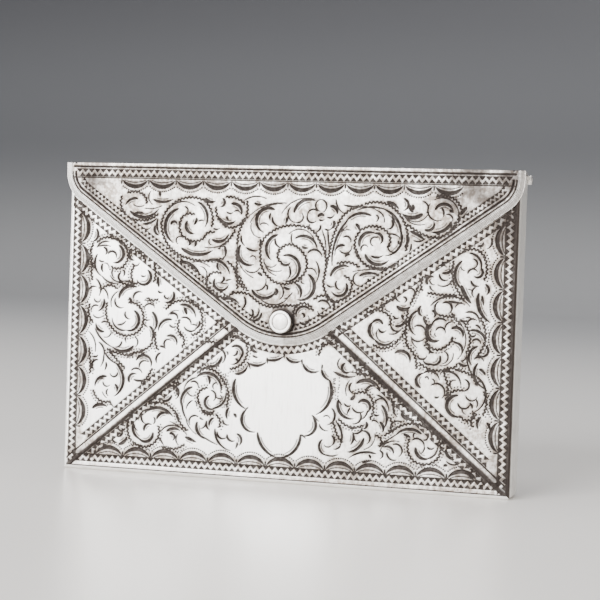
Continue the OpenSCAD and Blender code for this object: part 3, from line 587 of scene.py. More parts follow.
RIGHT_CUTS = [
    (20.1, 32.2, 19.2, 33, 18, 32.2, 0.5), (18, 32.4, 17.5, 30.5, 18.7, 29.1, 0.6),
    (18.7, 29.1, 20.2, 28.2, 22.4, 29.2, 0.5), (19.3, 31.4, 19.8, 30.7, 20.8, 31, 0.35),
    (19.1, 31, 19, 29.8, 19.8, 29, 0.25), (21.4, 30.4, 22.7, 30.5, 24, 31.8, 0.25),
    (21.7, 32.1, 22.3, 31.1, 23.7, 31.3, 0.35), (22.6, 32, 23.7, 32.1, 24.6, 33.4, 0.5),
    (22.2, 33.9, 22.7, 33.4, 23.3, 33.6, 0.3), (23.8, 34.2, 24, 33.6, 24.3, 33.2, 0.4),
    (22.8, 35.8, 23.8, 35.2, 25.4, 35.8, 0.7), (26.9, 35.1, 25.3, 32.4, 26.6, 30.4, 0.5),
    (26.4, 32, 27.9, 32.1, 28.5, 30.6, 0.35), (25.7, 30.1, 27, 29.2, 28.5, 30, 0.3),
    (22.7, 26.7, 24.3, 27.2, 25.7, 25.1, 0.55), (27.1, 26.5, 28, 25.8, 29, 26.5, 0.35),
    (25.8, 29.7, 26.2, 28.8, 27, 28, 0.2), (12.9, 24.3, 12.3, 23.2, 13.9, 22.7, 0.5),
    (13.9, 22.7, 15.5, 22.5, 17, 22.7, 0.2), (11.9, 25.2, 11.4, 24, 12.2, 22.9, 0.25),
    (13.5, 25.2, 13.9, 24.8, 14, 24.2, 0.2), (13.5, 26.6, 14.1, 25.9, 14.7, 25.1, 0.4),
    (11, 22.5, 12.5, 21.9, 14.8, 21.8, 0.3), (31.7, 36.7, 33.3, 36.5, 32.9, 34.8, 0.4),
    (30.9, 37, 30.2, 35.6, 31.2, 34.4, 0.35), (29.4, 36.1, 32.5, 38, 37, 36.3, 0.35),
    (32.6, 37, 34, 37, 35.6, 36.8, 0.4), (34.2, 36, 34.6, 36.6, 36, 36.5, 0.25),
    (27.5, 36, 27.1, 35, 27.8, 34.1, 0.5), (29.7, 35.2, 30.3, 34.8, 30.1, 34, 0.5),
    (28, 33.9, 28.2, 33.2, 28.7, 32.4, 0.25), (32.6, 33.3, 30.6, 33.6, 29.7, 32, 0.4),
    (29.9, 32.6, 28.9, 30.4, 31.3, 29.6, 0.75), (30.6, 31.4, 31.4, 32.1, 32.4, 31, 0.35),
    (30.4, 31, 30.4, 30.6, 30.7, 30.3, 0.2), (32.4, 31.9, 32.9, 33, 34.2, 33.1, 0.3),
    (33.6, 31.9, 35.2, 32, 35.8, 30.4, 0.55), (33.8, 30.5, 33.9, 29.6, 34.6, 29.3, 0.3),
    (34.2, 29.3, 35.6, 28.6, 35.7, 27.2, 0.45), (35, 33.4, 36.4, 30.2, 35, 26.2, 0.2),
    (32.3, 27.6, 33.1, 26.4, 32.1, 25.2, 0.3), (34.1, 27.3, 33.7, 25.7, 31.6, 24.8, 0.2),
    (31.5, 26.7, 31.2, 25.2, 29.6, 25.1, 0.45), (30, 25.1, 29, 25, 28.3, 25.6, 0.4),
    (28.9, 27.9, 29.5, 27.6, 29.3, 26.9, 0.4), (29.8, 27.5, 30, 27.2, 30.2, 27.3, 0.3),
    (35.2, 25.5, 36.2, 25, 37.1, 25.2, 0.5), (34.4, 24.4, 35.2, 24.1, 36, 24.4, 0.35),
    (35.6, 26, 36.2, 26, 36.3, 26.8, 0.3), (36.6, 27.4, 37, 25.2, 40.2, 20.8, 0.3),
    (36.6, 32.7, 37, 33.7, 38.4, 33.7, 0.35), (38.2, 32.8, 38.9, 32.5, 39.2, 31.9, 0.35),
    (37.2, 31.7, 38.6, 31.7, 40.2, 29.2, 0.5), (37.2, 31, 37.8, 30.6, 38.3, 31.2, 0.35),
    (37.7, 29.7, 38.7, 30.1, 39.3, 29.3, 0.4), (40.2, 29, 40.4, 27.2, 39, 27.2, 0.45),
    (38.8, 28.8, 37.2, 27.4, 37.7, 25.2, 0.5), (38.2, 26.3, 39, 26.8, 40, 26, 0.35),
    (38.9, 25.6, 38.2, 23.8, 40.3, 21, 0.5), (39.2, 24.5, 39.8, 24.2, 40.4, 23.4, 0.5),
    (36.2, 35.1, 38, 35, 38.9, 33.2, 0.35), (36.3, 34.2, 36.8, 34.2, 37.4, 34.1, 0.3),
    (35.2, 33.8, 35.9, 33.4, 36.5, 33.7, 0.45), (28, 20.4, 27.1, 21.9, 28.5, 23.1, 0.55),
    (28.4, 23.1, 30, 23.6, 31.6, 22, 0.35), (28.8, 22.3, 29.1, 22.5, 29.4, 22, 0.3),
    (31.8, 23.5, 34.6, 23.3, 35.8, 21.2, 0.4), (33.9, 20.7, 33.8, 21.8, 34.8, 22.1, 0.35),
    (36.5, 22.4, 37.3, 20.9, 35.6, 20.4, 0.35), (30, 20.9, 31.4, 21.3, 32.2, 18.6, 0.35),
    (30.1, 22.2, 30.6, 21.8, 30.4, 21, 0.25), (30.8, 18.8, 31.2, 18.6, 31.6, 18.9, 0.35),
    (36.5, 46.4, 38.7, 45, 38.8, 43.2, 0.4), (38.9, 43.6, 38.7, 42, 37.6, 42.1, 0.5),
    (37.2, 45.3, 38.1, 44.6, 37.2, 43.6, 0.3), (36.4, 42.5, 37.1, 43.4, 38.2, 42.9, 0.35),
    (35.2, 44.9, 33.9, 42, 35.6, 39.4, 0.55), (35.2, 40.2, 36, 38.4, 37.2, 36.9, 0.75),
    (35, 43.9, 35.2, 43.3, 35.8, 43.1, 0.2), (36.5, 39.5, 36.9, 39.5, 37.3, 39.4, 0.2),
    (37, 41.2, 37.5, 40.4, 38.6, 40.2, 0.4), (38, 40, 37.3, 39, 37.7, 38.1, 0.3),
    (39.8, 40.6, 40.5, 39.6, 40.1, 38.6, 0.45), (38.6, 38.9, 38.6, 36.4, 41, 33.4, 0.65),
    (39.2, 38.4, 39.4, 37.6, 39.6, 36.6, 0.4), (31.4, 42.5, 32.8, 42.7, 33.5, 44.2, 0.5),
    (30.5, 43.6, 31.4, 44, 32.2, 43.6, 0.3), (31.3, 44.6, 31.8, 44.4, 32.3, 44.7, 0.4),
    (30.9, 42.3, 31.3, 41.3, 32.6, 41.2, 0.35), (28.7, 40.2, 28.6, 41.4, 29.8, 41.6, 0.5),
    (29.1, 41, 29.3, 40.4, 30, 40.2, 0.25), (30.6, 40.2, 32.6, 40.2, 33.4, 42.4, 0.25),
    (32.2, 40, 32.9, 40.4, 33.2, 41.2, 0.25), (29.1, 40, 29.3, 39.4, 29.9, 39, 0.3),
    (38.2, 47.9, 38.9, 47.9, 39.1, 48.6, 0.45), (40.6, 49.4, 40.7, 48.2, 39.9, 47.3, 0.35),
    (25.2, 39.2, 26.1, 38.9, 25.8, 38, 0.3), (24, 37.6, 24.6, 37.2, 24.3, 36.6, 0.35),
    (22.4, 38.4, 22.6, 37.2, 23.4, 36.6, 0.35), (35.3, 19.3, 33.2, 17.6, 36.1, 15.4, 0.65),
    (35.3, 17.9, 36.5, 16.8, 37.7, 18, 0.35), (37.6, 17.9, 38, 17.5, 38.1, 16.9, 0.4),
    (36.8, 19.4, 37.8, 18.4, 39, 19.2, 0.3), (38, 23.4, 40.6, 19.4, 38.1, 16.1, 0.35),
    (36.2, 16.9, 36.3, 16.2, 36.9, 15.8, 0.2), (39.8, 15.4, 39.2, 14.4, 39.4, 13.1, 0.5),
    (41, 14.4, 41.4, 13.9, 41.6, 13, 0.45), (38.7, 18.8, 39.1, 18, 38.9, 17.2, 0.3),
]

RIGHT_FRINGES = [
    (16.4, 33.6, 18.6, 34.9, 20.6, 34.3), (20.6, 34.3, 21.6, 33.4, 21.4, 32),
    (18.4, 28.2, 20.8, 27.6, 22.8, 28.9), (22.8, 28.9, 24.2, 30.4, 24.8, 33), (25, 35, 24.7, 31.8, 25, 28.2),
    (25, 28.2, 26.4, 26.8, 27, 24), (28.2, 34, 28.9, 31.5, 28.6, 28.4), (27.8, 25, 30.5, 23.8, 33.2, 24.4),
    (33.2, 24.4, 34.4, 24.6, 35, 25.2), (29, 28.9, 30.6, 27.8, 32.4, 28.4),
    (32.4, 28.4, 33.4, 29.2, 33.8, 30.2), (31.2, 34.5, 32.6, 34.2, 34, 34.3),
    (33.6, 34.9, 34.4, 33.8, 35.4, 32.6), (36, 33, 37.2, 30.6, 36.6, 27.4),
    (35.4, 23.9, 37.4, 23.4, 38.8, 21.4), (35.2, 46.4, 37.2, 47.2, 39.4, 45.8),
    (39.4, 45.8, 40, 43.4, 39.6, 41.4), (33.6, 44.8, 33.4, 42.4, 33.8, 40.6),
    (33.8, 40.6, 34.8, 38.8, 35.8, 37.4), (28.8, 38.6, 31.2, 38.3, 34.2, 38.4),
    (26.8, 39.8, 26.2, 38, 25.4, 36.2), (27.8, 41.6, 27.4, 40.4, 27.6, 39), (38.7, 27, 40.2, 31.2, 39, 34.2),
    (32.4, 23.4, 33.2, 21, 33, 18.4), (36.2, 20.2, 34.8, 20.2, 33.4, 18.9),
    (35.8, 15.4, 37.4, 14.6, 38.9, 16), (40.2, 20.2, 40.8, 18, 40.2, 15.8), (20, 35.2, 20.6, 36.4, 22.2, 37),
    (16.9, 24.6, 16.2, 23.4, 14.8, 23.4), (38.6, 16, 38, 14.8, 38.4, 13.4),
]

BOTTOM_CUTS = [
    (-23.9, 17.3, -22.2, 17.9, -21.9, 15.4, 0.45), (-24.5, 17, -25, 16.4, -24.6, 15.7, 0.35),
    (-22.8, 16.1, -23.5, 15.1, -25, 15.1, 0.5), (-25.6, 16.1, -26.1, 15.9, -26.5, 15.1, 0.4),
    (-26.6, 15, -27.3, 14.8, -27.7, 14.1, 0.4), (-28, 12.6, -25.4, 13.4, -22.4, 11.8, 0.6),
    (-27.6, 13.1, -29.2, 12.2, -29.8, 10.6, 0.25), (-25.8, 11.1, -25.1, 12.2, -23.2, 12.2, 0.5),
    (-29, 11.7, -29, 10.7, -28.3, 10.1, 0.35), (-26.5, 11.5, -26.2, 10.9, -26.5, 10.1, 0.3),
    (-30.8, 10.1, -30.5, 7.8, -28.7, 6.7, 0.5), (-26.6, 8.4, -27.6, 6.6, -29.6, 7.1, 0.6),
    (-30.6, 9.8, -30.4, 9, -29.8, 8.6, 0.3), (-28.4, 8.6, -28.2, 9.7, -26.9, 9.9, 0.45),
    (-25.3, 7.6, -24.8, 6.9, -24.2, 6, 0.35), (-24.9, 8.6, -23.4, 9.9, -21, 9.7, 0.3),
    (-23.6, 8.8, -22.4, 9.4, -20.8, 9.1, 0.55), (-23, 8.3, -22.1, 8.2, -22.3, 7.1, 0.45),
    (-21.2, 8.4, -21.6, 7.3, -21, 6.2, 0.3), (-34.4, 9, -33.9, 8.5, -33.1, 8.2, 0.3),
    (-33.1, 8.2, -33.5, 7.4, -34.3, 7.1, 0.45), (-33.3, 9.9, -33.1, 10.3, -32.6, 10.5, 0.4),
    (-35.4, 6.6, -34.9, 6, -34.2, 5.9, 0.35), (-33.8, 5.6, -32.9, 6, -32.1, 7.1, 0.65),
    (-37.9, 6, -37.3, 6.6, -36.6, 6.6, 0.35), (-39.2, 5.1, -38.8, 5.3, -38.4, 5.1, 0.6),
    (-17.5, 20.1, -14.6, 20.8, -12.4, 17.4, 0.6), (-15.3, 20.4, -14.9, 19.7, -14.9, 18.7, 0.5),
    (-13.3, 19.1, -13.9, 18.9, -13.9, 17.8, 0.3), (-17.4, 19.9, -19.4, 19, -20.2, 17.4, 0.3),
    (-18.8, 18.9, -17.7, 19, -17.2, 18, 0.35), (-18.4, 18, -20.3, 16.6, -20.4, 13.6, 0.55),
    (-20.5, 14.8, -20.1, 12.6, -19.2, 11.1, 0.35), (-19.7, 12, -18.8, 9.9, -17.3, 8.6, 0.2),
    (-19.5, 17, -18.9, 16.3, -17.7, 16.3, 0.25), (-18.3, 15.3, -19.1, 14.7, -19.6, 13.5, 0.3),
    (-16.2, 13.3, -15, 12.8, -13.8, 12.8, 0.45), (-14.8, 16.4, -15.6, 14.6, -13.6, 14, 0.55),
    (-14, 14, -12.2, 14.8, -11.3, 17.4, 0.45), (-14.5, 17.5, -13.5, 16.7, -13.9, 15.5, 0.35),
    (-13.5, 16.4, -12.9, 16, -12.1, 16.3, 0.25), (-17, 12.1, -18.4, 12.1, -18.7, 10.4, 0.35),
    (-16.7, 12, -16.3, 11.7, -15.9, 11.6, 0.35), (-17.2, 11.1, -17.1, 9.2, -15.2, 7.8, 0.55),
    (-16, 8.3, -14.6, 7.5, -12.8, 6.8, 0.3), (-15.2, 11.4, -15.2, 10.4, -14.5, 9.6, 0.4),
    (-13.7, 12.1, -14.5, 11.4, -14.6, 10.3, 0.45), (-15.4, 10.9, -15.9, 10, -16.6, 9.8, 0.3),
    (-10.7, 14.2, -11.1, 13.2, -10.9, 12, 0.5), (-11.8, 11.8, -11.4, 11, -10.5, 10.9, 0.35),
    (-9.5, 13.1, -9.2, 12.8, -9.1, 12.4, 0.5), (-13.4, 10, -12.8, 7.6, -10, 5.8, 0.4),
    (-12.9, 9.4, -12.3, 8.2, -11, 8.3, 0.4), (-10.8, 9, -10.4, 7.9, -9.2, 7.8, 0.4),
    (-8.8, 9.2, -8, 8.6, -8.2, 7, 0.45), (-8.7, 7.5, -8.7, 6.9, -9, 6.3, 0.35),
    (-19.6, 7.9, -18.5, 7.5, -17.3, 7, 0.6), (-23, 10.8, -21, 9.9, -19.3, 8.3, 0.25),
    (-13.3, 25.9, -11.9, 25, -12.3, 23.1, 0.35), (-12.5, 24.4, -13.1, 23, -15.4, 22.4, 0.6),
    (-14.3, 24.6, -14.6, 24.1, -14.4, 23.6, 0.35), (-11.5, 25.4, -11.2, 25.1, -11.2, 24.7, 0.3),
    (-10.4, 26.3, -8.5, 26.2, -8.8, 24, 0.5), (-8.4, 25, -9, 23.5, -10.5, 22.9, 0.35),
    (-9.3, 25.7, -9.4, 25, -10.1, 24.7, 0.4), (-9.6, 24, -9.2, 23.8, -9.1, 23.4, 0.4),
    (-6.4, 26.8, -5.9, 25.8, -5, 25.6, 0.55), (-6, 24.9, -5.5, 24.6, -4.9, 24.6, 0.35),
    (10.5, 15.4, 10.9, 13, 9.7, 12.1, 0.4), (8.9, 13.6, 9.6, 13.9, 10.2, 13.4, 0.25),
    (8.1, 12.2, 8.7, 11.2, 9.8, 11, 0.3), (8.8, 9.2, 8.3, 7.2, 10, 6.2, 0.45),
    (9.4, 6.3, 10.6, 6.1, 12, 6.4, 0.3), (10.6, 10.1, 11.2, 8.9, 10.6, 8.1, 0.4),
    (10.6, 8.1, 9.9, 7.8, 9.2, 8.2, 0.25), (11.4, 12.9, 12.7, 10.4, 12.4, 8.1, 0.4),
    (12.5, 8.3, 12, 7.7, 11.1, 7.5, 0.35), (15.3, 20.5, 17, 21.2, 19.8, 19.9, 0.65),
    (14.4, 20.6, 13.9, 19.4, 14.8, 18.5, 0.35), (13.9, 21, 13.2, 19.6, 13.4, 18, 0.2),
    (10.6, 22.6, 12.4, 21.7, 15, 21.9, 0.3), (17.2, 18.9, 17.7, 19.9, 19, 20.1, 0.45),
    (11.8, 17.2, 12.4, 14.4, 14.9, 13.6, 0.6), (11.8, 17, 12.1, 16.6, 12.5, 16.2, 0.3),
    (13, 16.5, 13.5, 16, 14.3, 16.2, 0.3), (14.1, 15.7, 13.8, 15, 13.6, 14.4, 0.3),
    (14.3, 17.3, 14.8, 17.8, 15, 18.2, 0.6), (15.8, 16.7, 17, 17.3, 17.6, 15, 0.55),
    (17.7, 15.4, 17.2, 14.2, 16.6, 13.6, 0.3), (14.6, 15.8, 15.6, 14.9, 16.9, 15.2, 0.35),
    (16.2, 14.8, 16.3, 13.5, 14.8, 12.7, 0.35), (14.2, 11.9, 14.8, 11.7, 15.3, 11.8, 0.4),
    (19.1, 16.9, 20, 17.8, 21.2, 17.4, 0.3), (19.3, 18.5, 21.2, 17.4, 21.9, 15.4, 0.35),
    (20.4, 16.6, 21.4, 15, 21.1, 12.2, 0.5), (18.9, 14.8, 19.4, 14.5, 20, 14.7, 0.35),
    (18.6, 13.5, 19.3, 13.5, 19.9, 13, 0.3), (20.2, 13.3, 20.8, 12.6, 20.8, 11.4, 0.5),
    (17.5, 13.1, 17.6, 12.4, 17.2, 11.8, 0.5), (16.7, 11.4, 18, 10.9, 17.8, 8.9, 0.4),
    (16.7, 12.1, 16.1, 11, 14.8, 11, 0.35), (14.9, 10.8, 15, 9.5, 14.5, 8.6, 0.45),
    (15.2, 10.3, 15.3, 9.7, 15.8, 9.2, 0.25), (17.1, 10, 16.3, 8.3, 13.9, 7.1, 0.6),
    (19.7, 7.1, 17.4, 7.3, 14.2, 5.9, 0.4), (17.2, 7.8, 18.9, 9, 19.3, 11, 0.2),
    (18.3, 6.8, 18.5, 6.5, 18.6, 6.1, 0.4), (17, 5.2, 17.8, 5.5, 18.9, 5.7, 0.4),
    (20.3, 7.8, 21, 7, 20.5, 6.2, 0.35), (24.4, 15.3, 25, 14.5, 26.6, 14.4, 0.6),
    (23.4, 16.7, 24.5, 16.9, 25.5, 15.8, 0.35), (22.7, 16.8, 22.9, 15.5, 23.6, 14.5, 0.35),
    (24.6, 13.6, 22.9, 13.4, 22.2, 12.1, 0.3), (20.2, 8.4, 22, 10, 24, 11.3, 0.3),
    (28.5, 11.5, 26.2, 12.3, 23.4, 11, 0.55), (20.6, 8.2, 22, 9.5, 24.2, 9.7, 0.25),
    (25, 11.2, 25.7, 11, 26.3, 10.7, 0.5), (27.2, 11.7, 26.9, 11.2, 27.1, 10.6, 0.3),
    (26.7, 10.2, 28.6, 10.2, 29.1, 8.9, 0.35), (29.1, 9.2, 29, 8.3, 28.4, 7.7, 0.25),
    (27.4, 8.8, 28.2, 7.1, 30, 6.8, 0.65), (29.6, 6.8, 31.2, 7.7, 31.7, 9.6, 0.35),
    (29.7, 9.1, 30.3, 8.7, 31, 9, 0.35), (28.9, 10.4, 29.6, 10.6, 29.6, 11.3, 0.3),
    (28.4, 12.9, 30.2, 12, 30.4, 10.3, 0.3), (22.9, 9.1, 24.6, 8.6, 24.2, 6.9, 0.35),
    (21.2, 8.5, 22.6, 8.4, 23.1, 7.3, 0.45), (21.8, 7.6, 22.3, 6.4, 23.7, 6.2, 0.35),
    (33.3, 8.8, 33.8, 7.6, 35, 7, 0.6), (33.5, 6.6, 35, 6, 36.4, 6.8, 0.3),
    (35.3, 8.7, 36, 8.2, 36.9, 7.3, 0.4), (32.8, 10.4, 33.6, 10, 34.6, 9.2, 0.4),
    (33.1, 5.7, 33.4, 5.8, 33.7, 5.7, 0.5),
]

BOTTOM_FRINGES = [
    (-27.6, 14, -24.5, 14.4, -21.2, 11.3), (-30.6, 12.6, -32, 10, -31.2, 6.4),
    (-30.8, 6.3, -27.6, 5.5, -25.6, 7.2), (-25.6, 7.2, -25.2, 8.6, -25.5, 9.8),
    (-15.3, 17.9, -17.1, 16.8, -16.9, 15), (-16.9, 15, -16.2, 13.6, -13.6, 13.4),
    (-16.8, 21.6, -14.5, 21.7, -12, 19.5), (-12, 19.5, -10.9, 17.5, -11.2, 14.5),
    (-10.8, 28.2, -8.4, 28.1, -7.1, 25.8), (-7.1, 25.8, -7.8, 23.6, -10.6, 22),
    (15, 18.4, 17.3, 18.7, 18.7, 16.8), (18.7, 16.8, 18.8, 15.2, 18.2, 13.8),
    (12, 13.4, 13.6, 12.2, 16.8, 12.4), (15.4, 22.2, 18.4, 22, 20.6, 20), (21.4, 19.2, 22.6, 17, 23, 15),
    (22.4, 11.4, 25.4, 13.2, 28.8, 13.1), (29, 13, 31.6, 11.2, 32.3, 9), (32.3, 9, 31.9, 7.2, 30.2, 5.9),
    (26.2, 10.4, 25.9, 8.2, 27, 6.3), (27, 6.3, 28.6, 5.7, 30.2, 5.9), (-21, 20, -21.8, 18.4, -21.4, 16.4),
    (-13, 22.4, -15.6, 22, -17.4, 20.8), (-21.6, 12.6, -21, 11, -19.2, 9.2),
    (-13.2, 12.6, -12.4, 11.6, -12.6, 10.2), (-24.4, 5.6, -21.8, 5.4, -19.8, 6.4),
    (11, 12.6, 11.6, 10.6, 12.8, 8.9), (19.6, 10.6, 20.6, 9.8, 20.2, 8.6),
    (-16.6, 26.6, -14.6, 27.2, -13, 26.6), (7.6, 25.6, 9, 27.8, 11.4, 27.6),
    (21.2, 10.8, 22.6, 12.6, 22, 14.4),
]

SHIELD_CUTS = [
    (-9.6, 21.1, -8, 21.4, -7, 22.9, 0.5), (-6.6, 23.3, -5, 22.9, -3.2, 23.7, 0.5),
    (-2.9, 24.2, -1.2, 24.2, 0.3, 25, 0.5), (0.9, 24.9, 2.2, 24, 3.9, 24.3, 0.5),
    (4.4, 23.8, 5.2, 22.6, 7.6, 22.5, 0.5), (8.2, 22.8, 8.8, 21.5, 9.9, 20.8, 0.5),
    (-9.4, 20.1, -9.7, 17.4, -7, 14.2, 0.6), (9.8, 20.9, 10.2, 17.5, 7.4, 14, 0.6),
    (-7, 14.1, -7.9, 12, -5, 9.8, 0.55), (6.8, 13.4, 7.3, 11.4, 5, 9.7, 0.55),
    (-4.5, 9.8, -3.6, 7.2, -0.5, 5.1, 0.55), (4.3, 9.9, 3.6, 7.2, 0.2, 5.1, 0.55),
    (-7, 23.6, -6.7, 22.9, -6.4, 22.2, 0.3), (-3, 24.6, -2.95, 24, -2.9, 23.4, 0.3),
    (0.4, 25.9, 0.45, 25.2, 0.5, 24.6, 0.3), (4.1, 24.6, 4.15, 24.1, 4.2, 23.7, 0.3),
    (8.3, 23.8, 8.25, 23.3, 8.2, 22.8, 0.3), (6.5, 13.8, 7.2, 13.3, 8, 12.7, 0.3),
    (-7, 14.2, -6.8, 14.4, -6.6, 14.6, 0.3), (4.3, 9.9, 4.9, 9.6, 5.4, 9.2, 0.3),
]


def flap_ornament(outline):
    graver = Graver()
    across = 45.0
    # Lines and zigzag under the lid's top edge
    for z, width in ((61.45, 0.42), (59.25, 0.26)):
        graver.cut(line((-across, z), (across, z)), width, "line", 0)
    zigzag(graver, line((-43.8, 60.25), (43.8, 60.25)))
    swags(graver, [(-34.6 + 5.82 * i, 58.9) for i in range(13)], (0, -1.25))
    # Lines and zigzag inside the rim
    graver.cut(outline.path(RIM_WIDTH + 0.22, 0.06), 0.3, "line", 0)
    graver.cut(outline.path(RIM_WIDTH + 0.85, 0.06), 0.5, "line", 0)
    zigzag(graver, outline.path(RIM_WIDTH + 2.0, 0.06)[60:-60], width=1.15, pitch=0.95, tooth=0.56)
    leaves(graver, FLAP_CUTS)
    fringes(graver, FLAP_FRINGES)
    return graver


def front_ornament(outline):
    graver = Graver()
    for side in (-1, 1):
        edge = line((side * 44.25, 1.6), (side * 44.25, 56.0))
        zigzag(graver, edge)
        graver.cut(line((side * 43.35, 2), (side * 43.35, 56)), 0.2, "line", 0)
        swags(graver, [(side * 43.2, 8.7 + 6.2 * i) for i in range(8)], (-side * 1.4, 0))
        # The seam ridge, with a zigzag on each side
        low, high = np.array([side * 45.0, 1.4]), np.array([side * 10.4, 30.6])
        for offset in (-1.8, 1.8):
            from_corner = 4.0 if offset * side > 0 else 6.4
            zigzag(graver, beside(shifted(line(low, high), from_corner), offset))
        for offset in (-0.8, 0.8):
            graver.cut(beside(line(low, high), offset), 0.34, "line", 0)
    zigzag(graver, line((-43.5, 2.4), (43.5, 2.4)))
    graver.cut(line((-42, 3.25), (42, 3.25)), 0.2, "line", 0)
    swags(graver, [(-39.0 + 6.05 * i, 3.4) for i in range(14)], (0, 1.4))
    zigzag(graver, outline.path(-1.05, 0.06)[60:-60], width=1.6)
    for cuts in (LEFT_CUTS, RIGHT_CUTS, BOTTOM_CUTS, SHIELD_CUTS):
        leaves(graver, cuts)
    for edges in (LEFT_FRINGES, RIGHT_FRINGES, BOTTOM_FRINGES):
        fringes(graver, edges, True)
    stipple(graver, (-12.6, 14.4), (-10.2, 21.6))
    stipple(graver, (10.6, 17.4), (12.6, 21.8))
    return graver


# Rounds of leaves that the back repeats: where they are on the face, as x, z and radius
ROUNDS = [(FLAP_CUTS, FLAP_FRINGES, (-19.6, 49.6, 6.0)), (FLAP_CUTS, FLAP_FRINGES, (18.0, 48.6, 6.0)),
          (RIGHT_CUTS, RIGHT_FRINGES, (32.4, 30.6, 5.6)), (BOTTOM_CUTS, BOTTOM_FRINGES, (-15.8, 15.6, 5.8))]


def moved(rows, home, there, hand):
    """The arcs that lie in a round of leaves, carried to another place and mirrored if hand is -1."""
    kept = []
    for row in rows:
        points = np.array(row[:6]).reshape(3, 2) - home[:2]
        if np.hypot(*points[1]) < home[2]:
            kept.append((*(points * [hand, 1] + there).ravel(), *row[6:]))
    return kept


def back_ornament():
    """Scrolls in rows that mirror about the middle, around a plain oval, inside a zigzag border."""
    graver = Graver()
    left, right, low, high = -43.6, 43.6, 2.4, 58.2
    for a, b in (((left, low), (right, low)), ((right, low), (right, high)),
                 ((right, high), (left, high)), ((left, high), (left, low))):
        zigzag(graver, line(a, b), width=1.7)
        way = (np.array(b, float) - a) / np.hypot(*(np.array(b, float) - a))
        inward = np.array([-way[1], way[0]])
        count = int(round((np.hypot(*(np.array(b) - a)) - 4) / 5.8))
        points = [np.array(a) + way * (2 + i * (np.hypot(*(np.array(b) - a)) - 4) / count) + inward
                  for i in range(count + 1)]
        swags(graver, points, inward * 1.3)
    middle = (0, (low + high) / 2)
    oval = np.array([11.5, 15.5])
    ring = np.linspace(0, 2 * math.pi, 1400)
    loop = np.array(middle) + oval * np.stack([np.cos(ring), np.sin(ring)], 1)
    graver.cut(loop, 0.5, "line", 0.4)
    for side in (-1, 1):
        for row, z in enumerate((11.4, 24.0, 36.6, 49.2)):
            for column, x in enumerate((35.6, 23.4, 10.8)):
                near_oval = ((x / (oval[0] + 5)) ** 2 + ((z - middle[1]) / (oval[1] + 5)) ** 2) < 1
                if not near_oval:
                    cuts, edges, home = ROUNDS[(row + 2 * column) % 4]
                    leaves(graver, moved(cuts, home, (side * x, z), side))
                    fringes(graver, moved(edges, home, (side * x, z), side))
    return graver


# ---------------------------------------------------------------- sheets of silver


def softened(depths, radius):
    """A grid blurred by three running means."""
    for _ in range(3):
        for axis in (0, 1):
            pad = [(0, 0), (0, 0)]
            pad[axis] = (radius + 1, radius)
            total = np.cumsum(np.pad(depths, pad, mode="edge"), axis=axis)
            high = np.take(total, np.arange(2 * radius + 1, total.shape[axis]), axis=axis)
            low = np.take(total, np.arange(0, total.shape[axis] - 2 * radius - 1), axis=axis)
            depths = (high - low) / (2 * radius + 1)
    return depths


def edges_once(faces):
    """Edges that only one face uses, each in that face's own direction."""
    pairs = np.concatenate([faces[:, [i, (i + 1) % 4]] for i in range(4)])
    low, high = pairs.min(1), pairs.max(1)
    key = low.astype(np.int64) * (faces.max() + 1) + high
    _, first, count = np.unique(key, return_index=True, return_counts=True)
    return pairs[first[count == 1]]


def filled(points, loops):
    """Triangles that fill the flat area between closed loops of points in x and z."""
    mesh = bmesh.new()
    spots = {}
    for i in np.unique(np.concatenate(loops)):
        spots[i] = mesh.verts.new((points[i][0], 0, points[i][2]))
    back = {v: i for i, v in spots.items()}
    edges = [mesh.edges.new((spots[a], spots[b])) for loop in loops for a, b in loop]
    made = bmesh.ops.triangle_fill(mesh, edges=edges, use_beauty=False, use_dissolve=False)
    faces = [[back[v] for v in f.verts] for f in made["geom"] if isinstance(f, bmesh.types.BMFace)]
    mesh.free()
    return np.array(faces)


def facing(points, faces, toward):
    """The faces, turned so that their normals point along or against Y."""
    a, b, c = (points[faces[:, i]] for i in range(3))
    y = np.cross(b - a, c - a)[:, 1]
    wrong = y * toward < 0
    faces = faces.copy()
    faces[wrong] = faces[wrong][:, ::-1]
    return faces


def mesh_object(name, points, faces, **marks):
    """A mesh from arrays of points in millimetres and a list of face arrays, with point attributes."""
    mesh = bpy.data.meshes.new(name)
    corner = np.concatenate([f.ravel() for f in faces]).astype(np.int32)
    per_face = np.concatenate([np.full(len(f), f.shape[1]) for f in faces]).astype(np.int32)
    mesh.vertices.add(len(points))
    mesh.vertices.foreach_set("co", (points * MM).astype(np.float32).ravel())
    mesh.loops.add(len(corner))
    mesh.loops.foreach_set("vertex_index", corner)
    mesh.polygons.add(len(per_face))
    starts = np.concatenate([[0], np.cumsum(per_face)[:-1]]).astype(np.int32)
    mesh.polygons.foreach_set("loop_start", starts)
    for key, values in marks.items():
        mesh.attributes.new(key, "FLOAT", "POINT").data.foreach_set("value", values.astype(np.float32))
    mesh.update(calc_edges=True)
    mesh.validate()
    thing = bpy.data.objects.new(name, mesh)
    bpy.context.scene.collection.objects.link(thing)
    return thing


def smooth_up_to(thing, degrees):
    thing.data.shade_smooth()
    thing.data.set_sharp_from_angle(angle=math.radians(degrees))
    return thing


